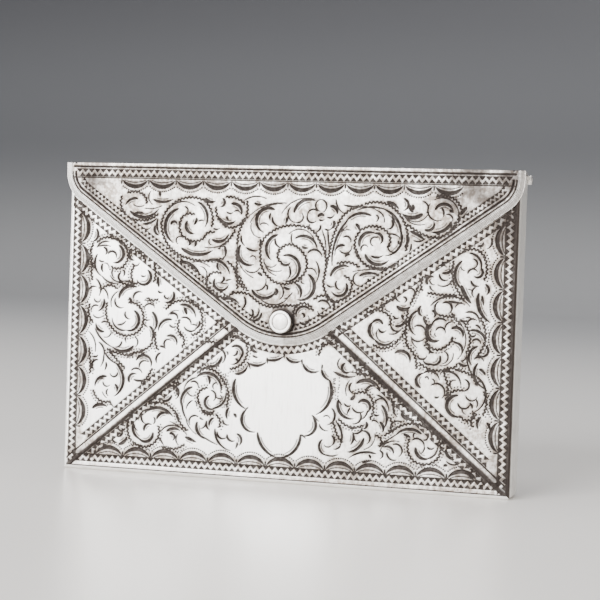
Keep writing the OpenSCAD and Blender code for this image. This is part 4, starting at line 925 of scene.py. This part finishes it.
def engraved_sheet(name, grid, keep, surface, face_y, back_y, cut, grime, slot=None, inner=None):
    """A closed sheet of silver.

    keep marks the worked points of its face. inner says which of their boundary edges surround flat
    metal, and slot is a rectangle that goes right through that flat metal.
    """
    x, z = grid
    ids = np.arange(x.size).reshape(x.shape)
    quads = np.stack([ids[:-1, :-1], ids[:-1, 1:], ids[1:, 1:], ids[1:, :-1]], -1).reshape(-1, 4)
    quads = quads[keep.ravel()[quads].all(1)]
    used, quads = np.unique(quads, return_inverse=True)
    quads = quads.reshape(-1, 4)
    points = np.stack([x.ravel(), surface.ravel(), z.ravel()], 1)[used]
    border = edges_once(quads)
    within = inner(points[border].mean(1)) if inner else np.zeros(len(border), bool)
    faces, outer = [], border[~within]
    front = -1 if face_y < back_y else 1
    if within.any():
        points[np.unique(border[within]), 1] = face_y
    loops = [border[within]] if within.any() else []
    if slot is not None:
        first = len(points)
        points = np.concatenate([points, [[sx, face_y, sz] for sx, sz in slot]])
        ring = np.array([[first + i, first + (i + 1) % 4] for i in range(4)])
        loops.append(ring[:, ::-1])
        outer = np.concatenate([outer, ring])
    if loops:
        faces.append(facing(points, filled(points, loops), front))
    # The back is flat, and walls join it to the face
    rim = np.unique(outer)
    behind = np.full(len(points), -1)
    behind[rim] = len(points) + np.arange(len(rim))
    points = np.concatenate([points, points[rim] * [1, 0, 1] + [0, back_y, 0]])
    faces.append(facing(points, filled(points, [behind[outer]]), -front))
    a, b = outer.T
    walls = np.stack([b, a, behind[a], behind[b]], 1)
    faces.append(facing(points, quads, front))
    flipped = len(faces[-1]) and not np.array_equal(faces[-1][0], quads[0])
    faces.append(walls[:, ::-1] if flipped else walls)
    extra = len(points) - len(used)
    marks = {"cut": np.concatenate([cut.ravel()[used], np.zeros(extra)]),
             "grime": np.concatenate([grime.ravel()[used], np.zeros(extra)])}
    sheet = smooth_up_to(mesh_object(name, points, faces, **marks), 60)
    face_map(sheet)
    return sheet


def fine_grid(x_half, z_low, z_high, step):
    """Evenly spaced grid points over a sheet, whose outer rows and columns lie on its edges."""
    columns = int(round(2 * x_half / step)) + 1
    rows = int(round((z_high - z_low) / step)) + 1
    return np.meshgrid(np.linspace(-x_half, x_half, columns), np.linspace(z_low, z_high, rows))


def settled(inks, step, reach=0.5):
    """Where tarnish gathers: thinly, around crowded cuts."""
    return np.clip(1.5 * softened(inks, int(reach / step)) - 0.25, 0, 1)


def band(distance, width):
    """1 in the middle of a band, falling smoothly to nothing beside it."""
    return np.exp(-(distance / width) ** 2)


def patches(x, z, places):
    """Round patches of tarnish: x, z, radius and strength."""
    return sum(strength * band(np.hypot(x - px, z - pz), radius) for px, pz, radius, strength in places)


def flap_stains_and_shade(x, z):
    """Tarnish along the lid's top, around the button and in the ground, with painted shade over both upper ends
    of the flap.
    """
    return (0.45 + band(z - 58.4, 0.7) * 0.9
            + patches(x, z, [
                (0.4, BUTTON_Z, 3.2, 2.3), (-25, 47, 1.6, 0.6), (-10, 44.5, 1.6, 0.6), (2, 41.5, 1.6, 0.5),
                (4.5, 53.5, 1.6, 0.7), (11.5, 42, 1.5, 0.6), (-13, 42, 1.4, 0.5), (27, 48, 1.6, 0.6),
                (24, 46.5, 1.4, 0.5), (-28, 47.5, 1.6, 0.6), (-33, 54, 1.8, 0.5), (-5, 45, 1.6, 0.4),
                # The last three patches are painted shade over the flap's right end and a painted dark
                # reflection over its left end
                (42.5, 58.8, 7.5, 3.6), (33, 57.5, 4.0, 1.0), (-41, 58.5, 4.0, 1.3)]))


def front_stains_and_shade(outline, x, z):
    """Tarnish over the ground and inside the borders' crescents, plus painted shade: over the ground more to
    the right, along the seams, under the flap's point and below its right end. The lower corners are darker
    too.
    """
    # A thin even tarnish, plus painted shade that grows toward the right
    ground = 0.1 + 0.3 * np.clip(x / 30 + 0.5, 0, 1)
    outside_shield = np.clip((np.hypot(x, z - 14.5) - 8) / 4, 0, 1)
    side_crescents = band(np.abs(x) - 42.7, 0.7) * 0.7
    foot_crescents = band(z - 3.9, 0.6) * 0.8
    # Painted shade along the seam ridges, heavier on the right
    seams = band(seam_across(outline, x, z), 0.4) * np.where(x > 0, 1.4, 0.8) * (outline.inside(x, z) < 0)
    # Painted shade below the flap's right end and under its point; the lower corners are simply darker
    corners_and_point = patches(x, z, [
        (44, 53, 4.5, 2.0), (40, 12, 4.0, 0.4), (41, 5, 3.0, 0.6), (-40, 5, 3.0, 0.4), (0, 27.5, 4.0, 0.4)])
    return ground * outside_shield + side_crescents + foot_crescents + seams + corners_and_point


def make_front(outline):
    """The front sheet: worked below the flap, plain where the flap covers it, with the two seam ridges."""
    step = sizes().front_grid
    grid = fine_grid(FRONT_HIGH[0], FRONT_LOW[2], FRONT_HIGH[2], step)
    x, z = grid
    depths, inks = front_ornament(outline).press(grid)
    hidden = outline.inside(x, z) >= 0.05
    depths[hidden] = 0
    inks[hidden] = 0
    # Painted shade: a dark line down the right edge, and a painted shadow along the lower edge
    edge_line = 0.3
    inks[x > FRONT_HIGH[0] - edge_line] = 1
    inks[z < FRONT_LOW[2] + edge_line] = 0.8
    # Painted shade on the seam ridges' crests, heavier on the right
    crest = band(seam_across(outline, x, z), 0.4) * np.where(x > 0, 1.0, 0.75)
    inks = np.where(hidden, 0, np.maximum(inks, crest))
    back_y = FRONT_HIGH[1]
    face_y = back_y - sizes().plate
    ridge_top = face_y - FRONT_LOW[1]
    surface = face_y - seam_height(outline, x, z, ridge_top) + np.minimum(depths, Graver.deepest)
    for edge in (0, -1):
        surface[edge, :] = face_y
        surface[:, edge] = face_y
    clear = sizes().hook_clear
    low, high = HOOK_LOW - clear, HOOK_HIGH + clear
    slot = [(low[0], low[2]), (high[0], low[2]), (high[0], high[2]), (low[0], high[2])]
    beyond = 3 * step
    keep = (x < low[0] - beyond) | (x > high[0] + beyond) | (z < low[2] - beyond) | (z > high[2] + beyond)

    def inner(middle):
        return ~on_border(middle, x, z)

    return engraved_sheet("front_sheet", grid, keep, surface, face_y, back_y, inks,
                          settled(inks, step) + front_stains_and_shade(outline, x, z), slot, inner)


def on_border(middle, x, z):
    """Which points lie on a grid's outer edge."""
    near = 1e-3
    return ((np.abs(middle[:, 0] - x[0, 0]) < near) | (np.abs(middle[:, 0] - x[0, -1]) < near)
            | (np.abs(middle[:, 2] - z[0, 0]) < near) | (np.abs(middle[:, 2] - z[-1, 0]) < near))


def seam_across(outline, x, z):
    """How far points lie from the nearer seam's middle line."""
    way = outline.touch - [CASE_HALF, 0]
    way = way / np.hypot(*way)
    return np.abs((np.abs(x) - CASE_HALF) * -way[1] + z * way[0])


def seam_height(outline, x, z, top):
    """Height of the two ridges that stand for the folded seams."""
    across = seam_across(outline, x, z)
    free = outline.inside(x, z) < -0.2
    return np.where(free, top * np.clip(1.6 * (1 - 2 * across / sizes().seam_width), 0, 1), 0)


def make_back():
    """The back sheet, worked all over around a plain oval."""
    step = sizes().back_grid
    grid = fine_grid(BACK_HIGH[0], BACK_LOW[2], BACK_HIGH[2], step)
    x, _ = grid
    depths, inks = back_ornament().press(grid)
    face_y, back_y = BACK_HIGH[1], BACK_LOW[1]
    depths[[0, -1], :] = 0
    depths[:, [0, -1]] = 0
    surface = face_y - np.minimum(depths, Graver.deepest)
    keep = np.ones_like(x, bool)
    return engraved_sheet("back_sheet", grid, keep, surface, face_y, back_y, inks, settled(inks, step))


def make_flap(outline):
    """The flap's sheet, inside its rim."""
    step = sizes().front_grid
    half = outline.half - RIM_WIDTH
    grid = fine_grid(half, LID_TOP - step * math.ceil((LID_TOP - FLAP_LOW[2]) / step), LID_TOP, step)
    x, z = grid
    depths, inks = flap_ornament(outline).press(grid)
    hole = math.hypot(HOOK_HIGH[2] - BUTTON_Z + sizes().hook_clear, HOOK_HIGH[0])

    def room(px, pz):
        return np.minimum(outline.inside(px, pz) - RIM_WIDTH, np.hypot(px, pz - BUTTON_Z) - hole)

    # Points just outside an edge move onto it
    reach = room(x, z)
    tiny = 0.01
    slope_x = (room(x + tiny, z) - room(x - tiny, z)) / (2 * tiny)
    slope_z = (room(x, z + tiny) - room(x, z - tiny)) / (2 * tiny)
    near = (reach < 0) & (reach > -step * 1.0)
    move = np.where(near, -reach, 0)
    x, z = x + slope_x * move, z + np.where(z < LID_TOP - tiny, slope_z * move, 0)
    keep = reach > -step * 1.0
    foot = np.hypot(x, z - BUTTON_Z) - COLLAR_HIGH[0]
    inks = np.maximum(inks, band(foot - 0.1, 0.4) * 0.9)
    depths[reach < step * 0.6] = 0
    depths[-1, :] = 0
    surface = FLAP_LOW[1] + np.minimum(depths, Graver.deepest)
    return engraved_sheet("flap_sheet", (x, z), keep, surface, FLAP_LOW[1], FLAP_HIGH[1],
                          inks, settled(inks, step) + flap_stains_and_shade(x, z))


# ---------------------------------------------------------------- rim, collar and button


def make_rim(outline):
    """The bevelled rim: two grooves by its ridge, fine reeds down its slope, and an eased outer edge."""
    edge_y = FLAP_HIGH[1] - sizes().rim_edge
    fall = (edge_y - FLAP_LOW[1]) / RIM_WIDTH

    def slope(inset):
        return edge_y - fall * inset

    groove, reed, ease = 0.05, 0.022, 0.07
    section = [(RIM_WIDTH, FLAP_HIGH[1], 0), (RIM_WIDTH, slope(RIM_WIDTH), 0)]
    for inset, deep in ((1.36, 0), (1.28, groove), (1.18, 0), (1.08, groove), (1.0, 0)):
        section.append((inset, slope(inset) + deep, 1 if deep else 0))
    for inset in (0.92, 0.68, 0.44):
        section += [(inset, slope(inset), 0), (inset - 0.07, slope(inset - 0.07) + reed, 0.7),
                    (inset - 0.14, slope(inset - 0.14), 0)]
    section += [(0.22, slope(0.22), 0), (0.16, slope(0.16) + groove, 0.8), (ease, slope(ease) + 0.01, 0),
                (0.0, slope(0) + ease, 0), (0.0, FLAP_HIGH[1], 0.6)]
    rails = [outline.path(inset) for inset, _, _ in section]
    rings = np.stack([np.stack([rail[:, 0], np.full(len(rail), y), rail[:, 1]], 1)
                      for rail, (_, y, _) in zip(rails, section)], 1)
    count, around = rings.shape[:2]
    ids = np.arange(count * around).reshape(count, around)
    these, those = ids[:-1], ids[1:]
    quads = np.stack([these, np.roll(these, -1, 1), np.roll(those, -1, 1), those], -1).reshape(-1, 4)
    caps = np.array([ids[0][::-1]]), np.array([ids[-1]])
    cut = np.tile([dark for _, _, dark in section], count)
    points = rings.reshape(-1, 3)
    # The rim's right half takes more of the warm colour: painted shade on the side away from the light
    grime = 0.3 * cut + np.where(points[:, 0] > 0, 0.4, 0.1)
    return smooth_up_to(mesh_object("reeded_rim", points, [quads, *caps], cut=cut, grime=grime), 35)


def turned(name, profile, closed, segments=96):
    """A piece turned about the button's axis. The profile holds radius and y, and its ends lie on the axis
    unless it is closed."""
    angles = np.linspace(0, 2 * math.pi, segments, endpoint=False)
    profile = np.array(profile)
    ring = profile if closed else profile[1:-1]
    points = np.stack([ring[:, :1] * np.cos(angles), np.repeat(ring[:, 1:], segments, 1),
                       BUTTON_Z + ring[:, :1] * np.sin(angles)], -1).reshape(-1, 3)
    ids = np.arange(len(points)).reshape(len(ring), segments)
    after = np.roll(ids, -1, 1)
    quads = np.stack([ids[:-1], after[:-1], after[1:], ids[1:]], -1).reshape(-1, 4)
    faces = [quads]
    if closed:
        faces.append(np.stack([ids[-1], after[-1], after[0], ids[0]], -1))
    else:
        ends = len(points) + np.arange(2)
        points = np.concatenate([points, [[0, profile[0, 1], BUTTON_Z], [0, profile[-1, 1], BUTTON_Z]]])
        faces.append(np.stack([np.full(segments, ends[0]), after[0], ids[0]], -1))
        faces.append(np.stack([ids[-1], after[-1], np.full(segments, ends[1])], -1))
    # Tarnish stays where the thumb doesn't rub, low on the profile. The dark crescent under the lip's upper
    # right is painted shadow.
    across = (points[:, 0] + points[:, 2] - BUTTON_Z) * 0.7 / BUTTON_HIGH[0]
    hidden = np.clip((points[:, 1] - points[:, 1].min()) / 0.5, 0, 1)
    return smooth_up_to(mesh_object(name, points, faces, cut=np.clip(2.6 * across - 1.6, 0, 1) * hidden,
                                    grime=0.25 + 0.6 * hidden), 40)


def quarter(centre, radius, start, stop, steps=6):
    """Points on an arc in a turned piece's profile, from one angle to another in degrees."""
    return [(centre[0] + radius * math.cos(math.radians(a)), centre[1] + radius * math.sin(math.radians(a)))
            for a in np.linspace(start, stop, steps + 1)]


def make_button():
    """The collar with its rolled lip, and the button with its low crown."""
    outer, front, back = COLLAR_HIGH[0], COLLAR_LOW[1], COLLAR_HIGH[1]
    bore = BUTTON_HIGH[0] + 0.05
    face = bore - 0.25
    lip = 0.2
    roll = 0.16
    neck = outer - 0.1
    collar = [(outer, back), (outer, back - 0.25), (neck, back - 0.4), (neck, front + 2.6 * roll)]
    collar += quarter((outer - roll, front + roll), roll, 0, -90)
    collar += quarter((face + roll * 0.5 + 0.05, front + roll * 0.5), roll * 0.5, -90, -180)
    collar += [(face + 0.05, front + lip), (bore, front + lip), (bore, back)]
    button_front, button_back = BUTTON_LOW[1], BUTTON_HIGH[1]
    crown = 0.12
    rim = face - 0.04
    flange = front + lip + 0.05
    crown_r = (rim * rim + crown * crown) / (2 * crown)
    turns = np.linspace(0, math.asin((rim - 0.08) / crown_r), 14)
    dome = [(crown_r * math.sin(t), button_front + crown_r * (1 - math.cos(t))) for t in turns]
    shape = dome + quarter((rim - 0.08, dome[-1][1] + 0.07), 0.07, -60, 0, 4)
    shape += [(rim, flange), (BUTTON_HIGH[0], flange), (BUTTON_HIGH[0], button_back), (0, button_back)]
    return turned("collar_turned", collar, True), turned("button_turned", shape, False)


# ---------------------------------------------------------------- finishes


class Signal:
    """A shader socket that takes part in Python arithmetic."""

    def __init__(self, finish, socket):
        self.finish = finish
        self.socket = socket

    def with_math(self, operation, *values):
        return self.finish.node("ShaderNodeMath", {"operation": operation}, dict(enumerate(values)))

    def __add__(self, other):
        return self.with_math("ADD", self, other)

    def __sub__(self, other):
        return self.with_math("SUBTRACT", self, other)

    def __mul__(self, other):
        return self.with_math("MULTIPLY", self, other)

    def __rsub__(self, other):
        return self.with_math("SUBTRACT", other, self)

    __radd__ = __add__
    __rmul__ = __mul__

    def between(self, low, high):
        """0 below low, 1 above high, and smooth between."""
        return self.finish.node("ShaderNodeMapRange", {"interpolation_type": "SMOOTHSTEP", "clamp": True},
                                {"Value": self, "From Min": low, "From Max": high})

    def limited(self):
        return self.finish.node("ShaderNodeClamp", {}, {"Value": self})


class Finish:
    """One material, built from nodes."""

    def __init__(self, name):
        self.material = bpy.data.materials.new(name)
        self.material.use_nodes = True
        self.nodes = self.material.node_tree.nodes
        self.links = self.material.node_tree.links
        self.shader = self.nodes["Principled BSDF"]

    def join(self, socket, value):
        if isinstance(value, Signal):
            self.links.new(value.socket, socket)
        elif value is not None:
            socket.default_value = value

    def node(self, kind, settings, values, output=0):
        made = self.nodes.new(kind)
        for key, value in settings.items():
            setattr(made, key, value)
        for key, value in values.items():
            self.join(made.inputs[key], value)
        return Signal(self, made.outputs[output])

    def set(self, **values):
        """Sets the shader's sockets. An underscore in a name stands for a space."""
        for key, value in values.items():
            self.join(self.shader.inputs[key.replace("_", " ")], value)
        return self

    def place(self):
        return self.node("ShaderNodeTexCoord", {}, {}, "Object")

    def stretched(self, scale):
        """The place in the frame, scaled along each axis, in units of one over metres."""
        return self.node("ShaderNodeVectorMath", {"operation": "MULTIPLY"}, {0: self.place(), 1: scale})

    def noise(self, scale, detail=3.0, rough=0.55):
        return self.node("ShaderNodeTexNoise", {}, {"Vector": self.stretched(scale), "Scale": 1.0,
                                                    "Detail": detail, "Roughness": rough})

    def attribute(self, name):
        return self.node("ShaderNodeAttribute", {"attribute_name": name}, {}, "Fac")

    def blend(self, share, first, second):
        """A mix of two colours."""
        return self.node("ShaderNodeMix", {"data_type": "RGBA"}, {0: share, 6: first, 7: second}, 2)

    def bump(self, height, strength, distance):
        return self.node("ShaderNodeBump", {}, {"Strength": strength, "Distance": distance, "Height": height})


def rgba(colour):
    return (*colour, 1.0)


def wiped_silver(name, scratch_axis, base_rough=0.3, front_shade_depth=None):
    """Polished silver with fine handling scratches and thin clouds of tarnish.

    front_shade_depth is how far back, in metres, its front is painted dark as shade.
    """
    finish = Finish(name)
    clouds = finish.noise((260, 260, 260)).between(0.42, 0.75)
    long, short = 350, 9000
    scale = [short] * 3
    scale[scratch_axis] = long
    scratches = finish.noise(tuple(scale), 2.0)
    colour = finish.blend(clouds * 0.22, rgba(colours().silver), rgba(colours().warm))
    # Painted shade: the front face, up to that depth, takes the dark colour
    if front_shade_depth is not None:
        depth = finish.node("ShaderNodeSeparateXYZ", {}, {0: finish.place()}, 1)
        fade = 0.0003
        colour = finish.blend(depth.between(front_shade_depth, front_shade_depth + fade), rgba(colours().dark), colour)
    rough = clouds * 0.12 + scratches * 0.1 + (base_rough - 0.05)
    return finish.set(Metallic=1.0, Base_Color=colour, Roughness=rough,
                      Normal=finish.bump(scratches, 0.12, 0.00003))


def engraved_silver(name):
    """Silver whose cuts hold dark tarnish, with a warm haze around crowded cuts and in its stains. The cut and
    grime attributes also carry painted shade from some pieces, in the same dark and warm colours.
    """
    finish = Finish(name)
    # Besides real cuts, cut holds painted shade: the front's right and lower edges, the seam crests and the
    # crescent under the button's lip
    cut = finish.attribute("cut")
    grime = finish.attribute("grime")
    clouds = finish.noise((180, 180, 180), 4.0)
    specks = finish.noise((1500, 1500, 1500), 3.0)
    scratches = finish.noise((2600, 3000, 240), 3.0)
    settled_and_shade = grime.between(0.0, 0.8)
    film_and_shade = (settled_and_shade * (clouds.between(0.2, 0.55) * 0.65 + specks.between(0.4, 0.6) * 0.35)
            + specks.between(0.6, 0.8) * 0.1 + scratches.between(0.5, 0.75) * 0.22).limited()
    clean = finish.blend(film_and_shade, rgba(colours().silver), rgba(colours().warm))
    deep_film_and_shade = grime.between(0.8, 2.4) * clouds.between(0.25, 0.6) * 0.85
    stained_and_shaded = finish.blend(deep_film_and_shade, clean, rgba(colours().dark))
    colour = finish.blend(cut.between(0.05, 0.65) * (specks * 0.2 + 0.85), stained_and_shaded, rgba(colours().dark))
    rough = film_and_shade * 0.25 + cut * 0.25 + scratches * 0.08 + 0.26
    return finish.set(Metallic=1.0, Base_Color=colour, Roughness=rough,
                      Normal=finish.bump(scratches, 0.25, 0.00003))


def gilt_lining(name):
    """Thin gilding, worn through to silver where cards rub it."""
    finish = Finish(name)
    worn = finish.noise((300, 300, 700), 4.0).between(0.45, 0.62)
    brushed = finish.noise((300, 6000, 9000), 2.0)
    colour = finish.blend(worn, rgba(colours().gilt), rgba(colours().silver))
    return finish.set(Metallic=1.0, Base_Color=colour, Roughness=brushed * 0.15 + 0.3,
                      Normal=finish.bump(brushed, 0.15, 0.00003))


def dress(thing, finish):
    thing.data.materials.clear()
    thing.data.materials.append(finish.material)


def placed(thing, body, node, finish):
    """Puts a finished piece in the place of a CAD node."""
    dress(thing, finish)
    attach(thing, body)
    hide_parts(node)


def face_map(thing):
    """A flat map, seen along Y, which a worked sheet reads best."""
    mesh = thing.data
    points = np.empty(len(mesh.vertices) * 3, np.float32)
    mesh.vertices.foreach_get("co", points)
    points = points.reshape(-1, 3)
    corner = np.empty(len(mesh.loops), np.int32)
    mesh.loops.foreach_get("vertex_index", corner)
    flat = points[corner][:, [0, 2]]
    low, span = flat.min(0), np.ptp(flat, axis=0).max()
    mesh.uv_layers.new(name="OFBake").data.foreach_set("uv", ((flat - low) / span * 0.98 + 0.01).ravel())


# ---------------------------------------------------------------- operators


class CASE_OT_front(bpy.types.Operator):
    """Engrave the front sheet and its seam ridges"""

    bl_idname = "card_case.front"
    bl_label = "Front sheet"

    def execute(self, context):
        sheet = make_front(FlapOutline())
        placed(sheet, "case", "front_plate", engraved_silver("front_silver"))
        return {"FINISHED"}


class CASE_OT_back(bpy.types.Operator):
    """Engrave the back sheet"""

    bl_idname = "card_case.back"
    bl_label = "Back sheet"

    def execute(self, context):
        placed(make_back(), "case", "back_plate", engraved_silver("back_silver"))
        return {"FINISHED"}


class CASE_OT_flap(bpy.types.Operator):
    """Engrave the flap's sheet"""

    bl_idname = "card_case.flap"
    bl_label = "Flap sheet"

    def execute(self, context):
        sheet = make_flap(FlapOutline())
        placed(sheet, "lid", "flap_plate", engraved_silver("flap_silver"))
        return {"FINISHED"}


class CASE_OT_rim(bpy.types.Operator):
    """Draw the reeded rim around the flap"""

    bl_idname = "card_case.rim"
    bl_label = "Flap rim"

    def execute(self, context):
        placed(make_rim(FlapOutline()), "lid", "flap_rim", engraved_silver("rim_silver"))
        return {"FINISHED"}


class CASE_OT_button(bpy.types.Operator):
    """Turn the collar and the push button"""

    bl_idname = "card_case.button"
    bl_label = "Button and collar"

    def execute(self, context):
        collar, button = make_button()
        finish = engraved_silver("button_silver")
        placed(collar, "lid", "button_collar", finish)
        placed(button, "button", "push_button", finish)
        return {"FINISHED"}


class CASE_OT_fittings(bpy.types.Operator):
    """Finish the edge strips, the lid's top, the hinge, the catch and the lining"""

    bl_idname = "card_case.fittings"
    bl_label = "Edges, hinge and catch"

    def execute(self, context):
        right_front = corners("right_edge_strip")[0][1] / 1000
        finishes = {
            wiped_silver("upright_silver", 2): ["left_edge_strip"],
            # The right edge strip's front face is painted dark: painted shade beside the front sheet
            wiped_silver("right_edge_silver", 2, 0.5, right_front + 0.0001): ["right_edge_strip"],
            wiped_silver("level_silver", 0): [
                "bottom_edge_strip", "top_strip", "left_lid_knuckle", "middle_lid_knuckle",
                "right_lid_knuckle", "left_body_knuckle", "right_body_knuckle"],
            wiped_silver("worked_silver", 2, 0.4): [
                "hinge_pin", "catch_spring", "spring_rivets", "catch_hook"],
            gilt_lining("lining_gilt"): ["front_lip"],
        }
        for finish, nodes in finishes.items():
            for node in nodes:
                dress(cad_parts[node], finish)
                smooth_up_to(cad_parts[node], 30)
        return {"FINISHED"}


class CASE_OT_stage(bpy.types.Operator):
    """Set the table, the lights and the camera"""

    bl_idname = "card_case.stage"
    bl_label = "Stage"

    def execute(self, context):
        make_table()
        make_lights()
        make_camera()
        return {"FINISHED"}


# ---------------------------------------------------------------- table, lights and camera


def make_table():
    """A pale table that curves up into a plain backdrop behind the case, its colour darkened up the curve as
    painted shade.
    """
    width, front, back, bend, height = 6.0, -3.0, 1.0, 0.6, 3.0
    turns = np.radians(np.linspace(-90, 0, 13))
    profile = [(front, 0.0)] + [(back + bend * math.cos(a), bend + bend * math.sin(a)) for a in turns]
    profile.append((back + bend, height))
    mesh = bpy.data.meshes.new("table")
    points = [(x, y, z) for y, z in profile for x in (-width / 2, width / 2)]
    faces = [(2 * i, 2 * i + 1, 2 * i + 3, 2 * i + 2) for i in range(len(profile) - 1)]
    mesh.from_pydata(points, [], faces)
    mesh.shade_smooth()
    table = bpy.data.objects.new("table", mesh)
    bpy.context.scene.collection.objects.link(table)
    finish = Finish("table_paint_and_shade")
    spot = finish.place()
    away, height = (finish.node("ShaderNodeSeparateXYZ", {}, {0: spot}, axis) for axis in (1, 2))
    # Painted shade: the colour falls from pale near the case through grey to near black up the backdrop
    climb = height + away * 0.08
    near = finish.blend(climb.between(-0.02, 0.07), (0.895, 0.862, 0.825, 1), (0.47, 0.47, 0.475, 1))
    lower = finish.blend(climb.between(0.07, 0.28), near, (0.172, 0.175, 0.184, 1))
    paint_and_shade = finish.blend(climb.between(0.32, 0.5), lower, (0.115, 0.116, 0.124, 1))
    finish.set(Base_Color=paint_and_shade, Roughness=0.3)
    mesh.materials.append(finish.material)


def lamp(name, place, aim, width, height, power, colour=(1, 1, 1)):
    """A soft rectangular lamp at a place, turned towards a point, in metres and watts."""
    data = bpy.data.lights.new(name, "AREA")
    data.shape = "RECTANGLE"
    data.size, data.size_y = width, height
    data.energy, data.color = power, colour
    thing = bpy.data.objects.new(name, data)
    thing.location = place
    thing.rotation_euler = (Vector(aim) - Vector(place)).to_track_quat("-Z", "Y").to_euler()
    bpy.context.scene.collection.objects.link(thing)


def make_lights():
    aim = (0, 0, 0.03)
    lamp("window", (-0.5, -1.1, 0.45), aim, 0.9, 0.8, 34)
    lamp("ceiling", (-0.1, 0.1, 1.4), aim, 1.2, 1.2, 20)
    lamp("left_strip", (-1.1, -0.25, 0.25), aim, 0.5, 0.7, 7)
    lamp("right_fill", (1.0, -0.5, 0.3), aim, 0.3, 0.6, 5, (1, 0.95, 0.88))
    world = bpy.context.scene.world or bpy.data.worlds.new("room")
    bpy.context.scene.world = world
    world.use_nodes = True
    room = world.node_tree.nodes["Background"]
    room.inputs["Color"].default_value = (0.8, 0.82, 0.86, 1)
    room.inputs["Strength"].default_value = 0.2


def make_camera():
    """Eye level with the case, a little to its right, with a long lens."""
    yaw, pitch, roll = (math.radians(a) for a in (16.5, -1.67, 1.88))
    ahead = Vector((-math.sin(yaw) * math.cos(pitch), math.cos(yaw) * math.cos(pitch), math.sin(pitch)))
    level = Vector((math.cos(yaw), math.sin(yaw), 0))
    above = level.cross(ahead)
    right = math.cos(roll) * level + math.sin(roll) * above
    up = math.cos(roll) * above - math.sin(roll) * level
    data = bpy.data.cameras.new("portrait")
    data.lens, data.sensor_width = 102.0, 36.0
    camera = bpy.data.objects.new("portrait", data)
    place = Vector((97.6, -322.0, 45.9)) * MM
    camera.matrix_world = Matrix.Translation(place) @ Matrix((right, up, -ahead)).transposed().to_4x4()
    bpy.context.scene.collection.objects.link(camera)
    bpy.context.scene.camera = camera


# ---------------------------------------------------------------- panel and registration


class CASE_PT_making(bpy.types.Panel):
    """Everything that makes the case, in order"""

    bl_idname = "CASE_PT_making"
    bl_label = "Card Case"
    bl_space_type = "VIEW_3D"
    bl_region_type = "UI"
    bl_category = "Card Case"

    def draw(self, context):
        for group in (sizes(), colours()):
            box = self.layout.box()
            for key in group.__annotations__:
                box.prop(group, key)
        for operator in OPERATORS:
            self.layout.operator(operator.bl_idname)


OPERATORS = (CASE_OT_front, CASE_OT_back, CASE_OT_flap, CASE_OT_rim, CASE_OT_button, CASE_OT_fittings,
             CASE_OT_stage)
CLASSES = (CaseSizes, CaseColours, *OPERATORS, CASE_PT_making)


def register():
    for item in CLASSES:
        bpy.utils.register_class(item)
    bpy.types.Scene.card_case_sizes = PointerProperty(type=CaseSizes)
    bpy.types.Scene.card_case_colours = PointerProperty(type=CaseColours)


def unregister():
    del bpy.types.Scene.card_case_colours
    del bpy.types.Scene.card_case_sizes
    for item in reversed(CLASSES):
        bpy.utils.unregister_class(item)


def main():
    register()
    bpy.ops.card_case.front()
    bpy.ops.card_case.back()
    bpy.ops.card_case.flap()
    bpy.ops.card_case.rim()
    bpy.ops.card_case.button()
    bpy.ops.card_case.fittings()
    bpy.ops.card_case.stage()


if __name__ == "__main__":
    main()
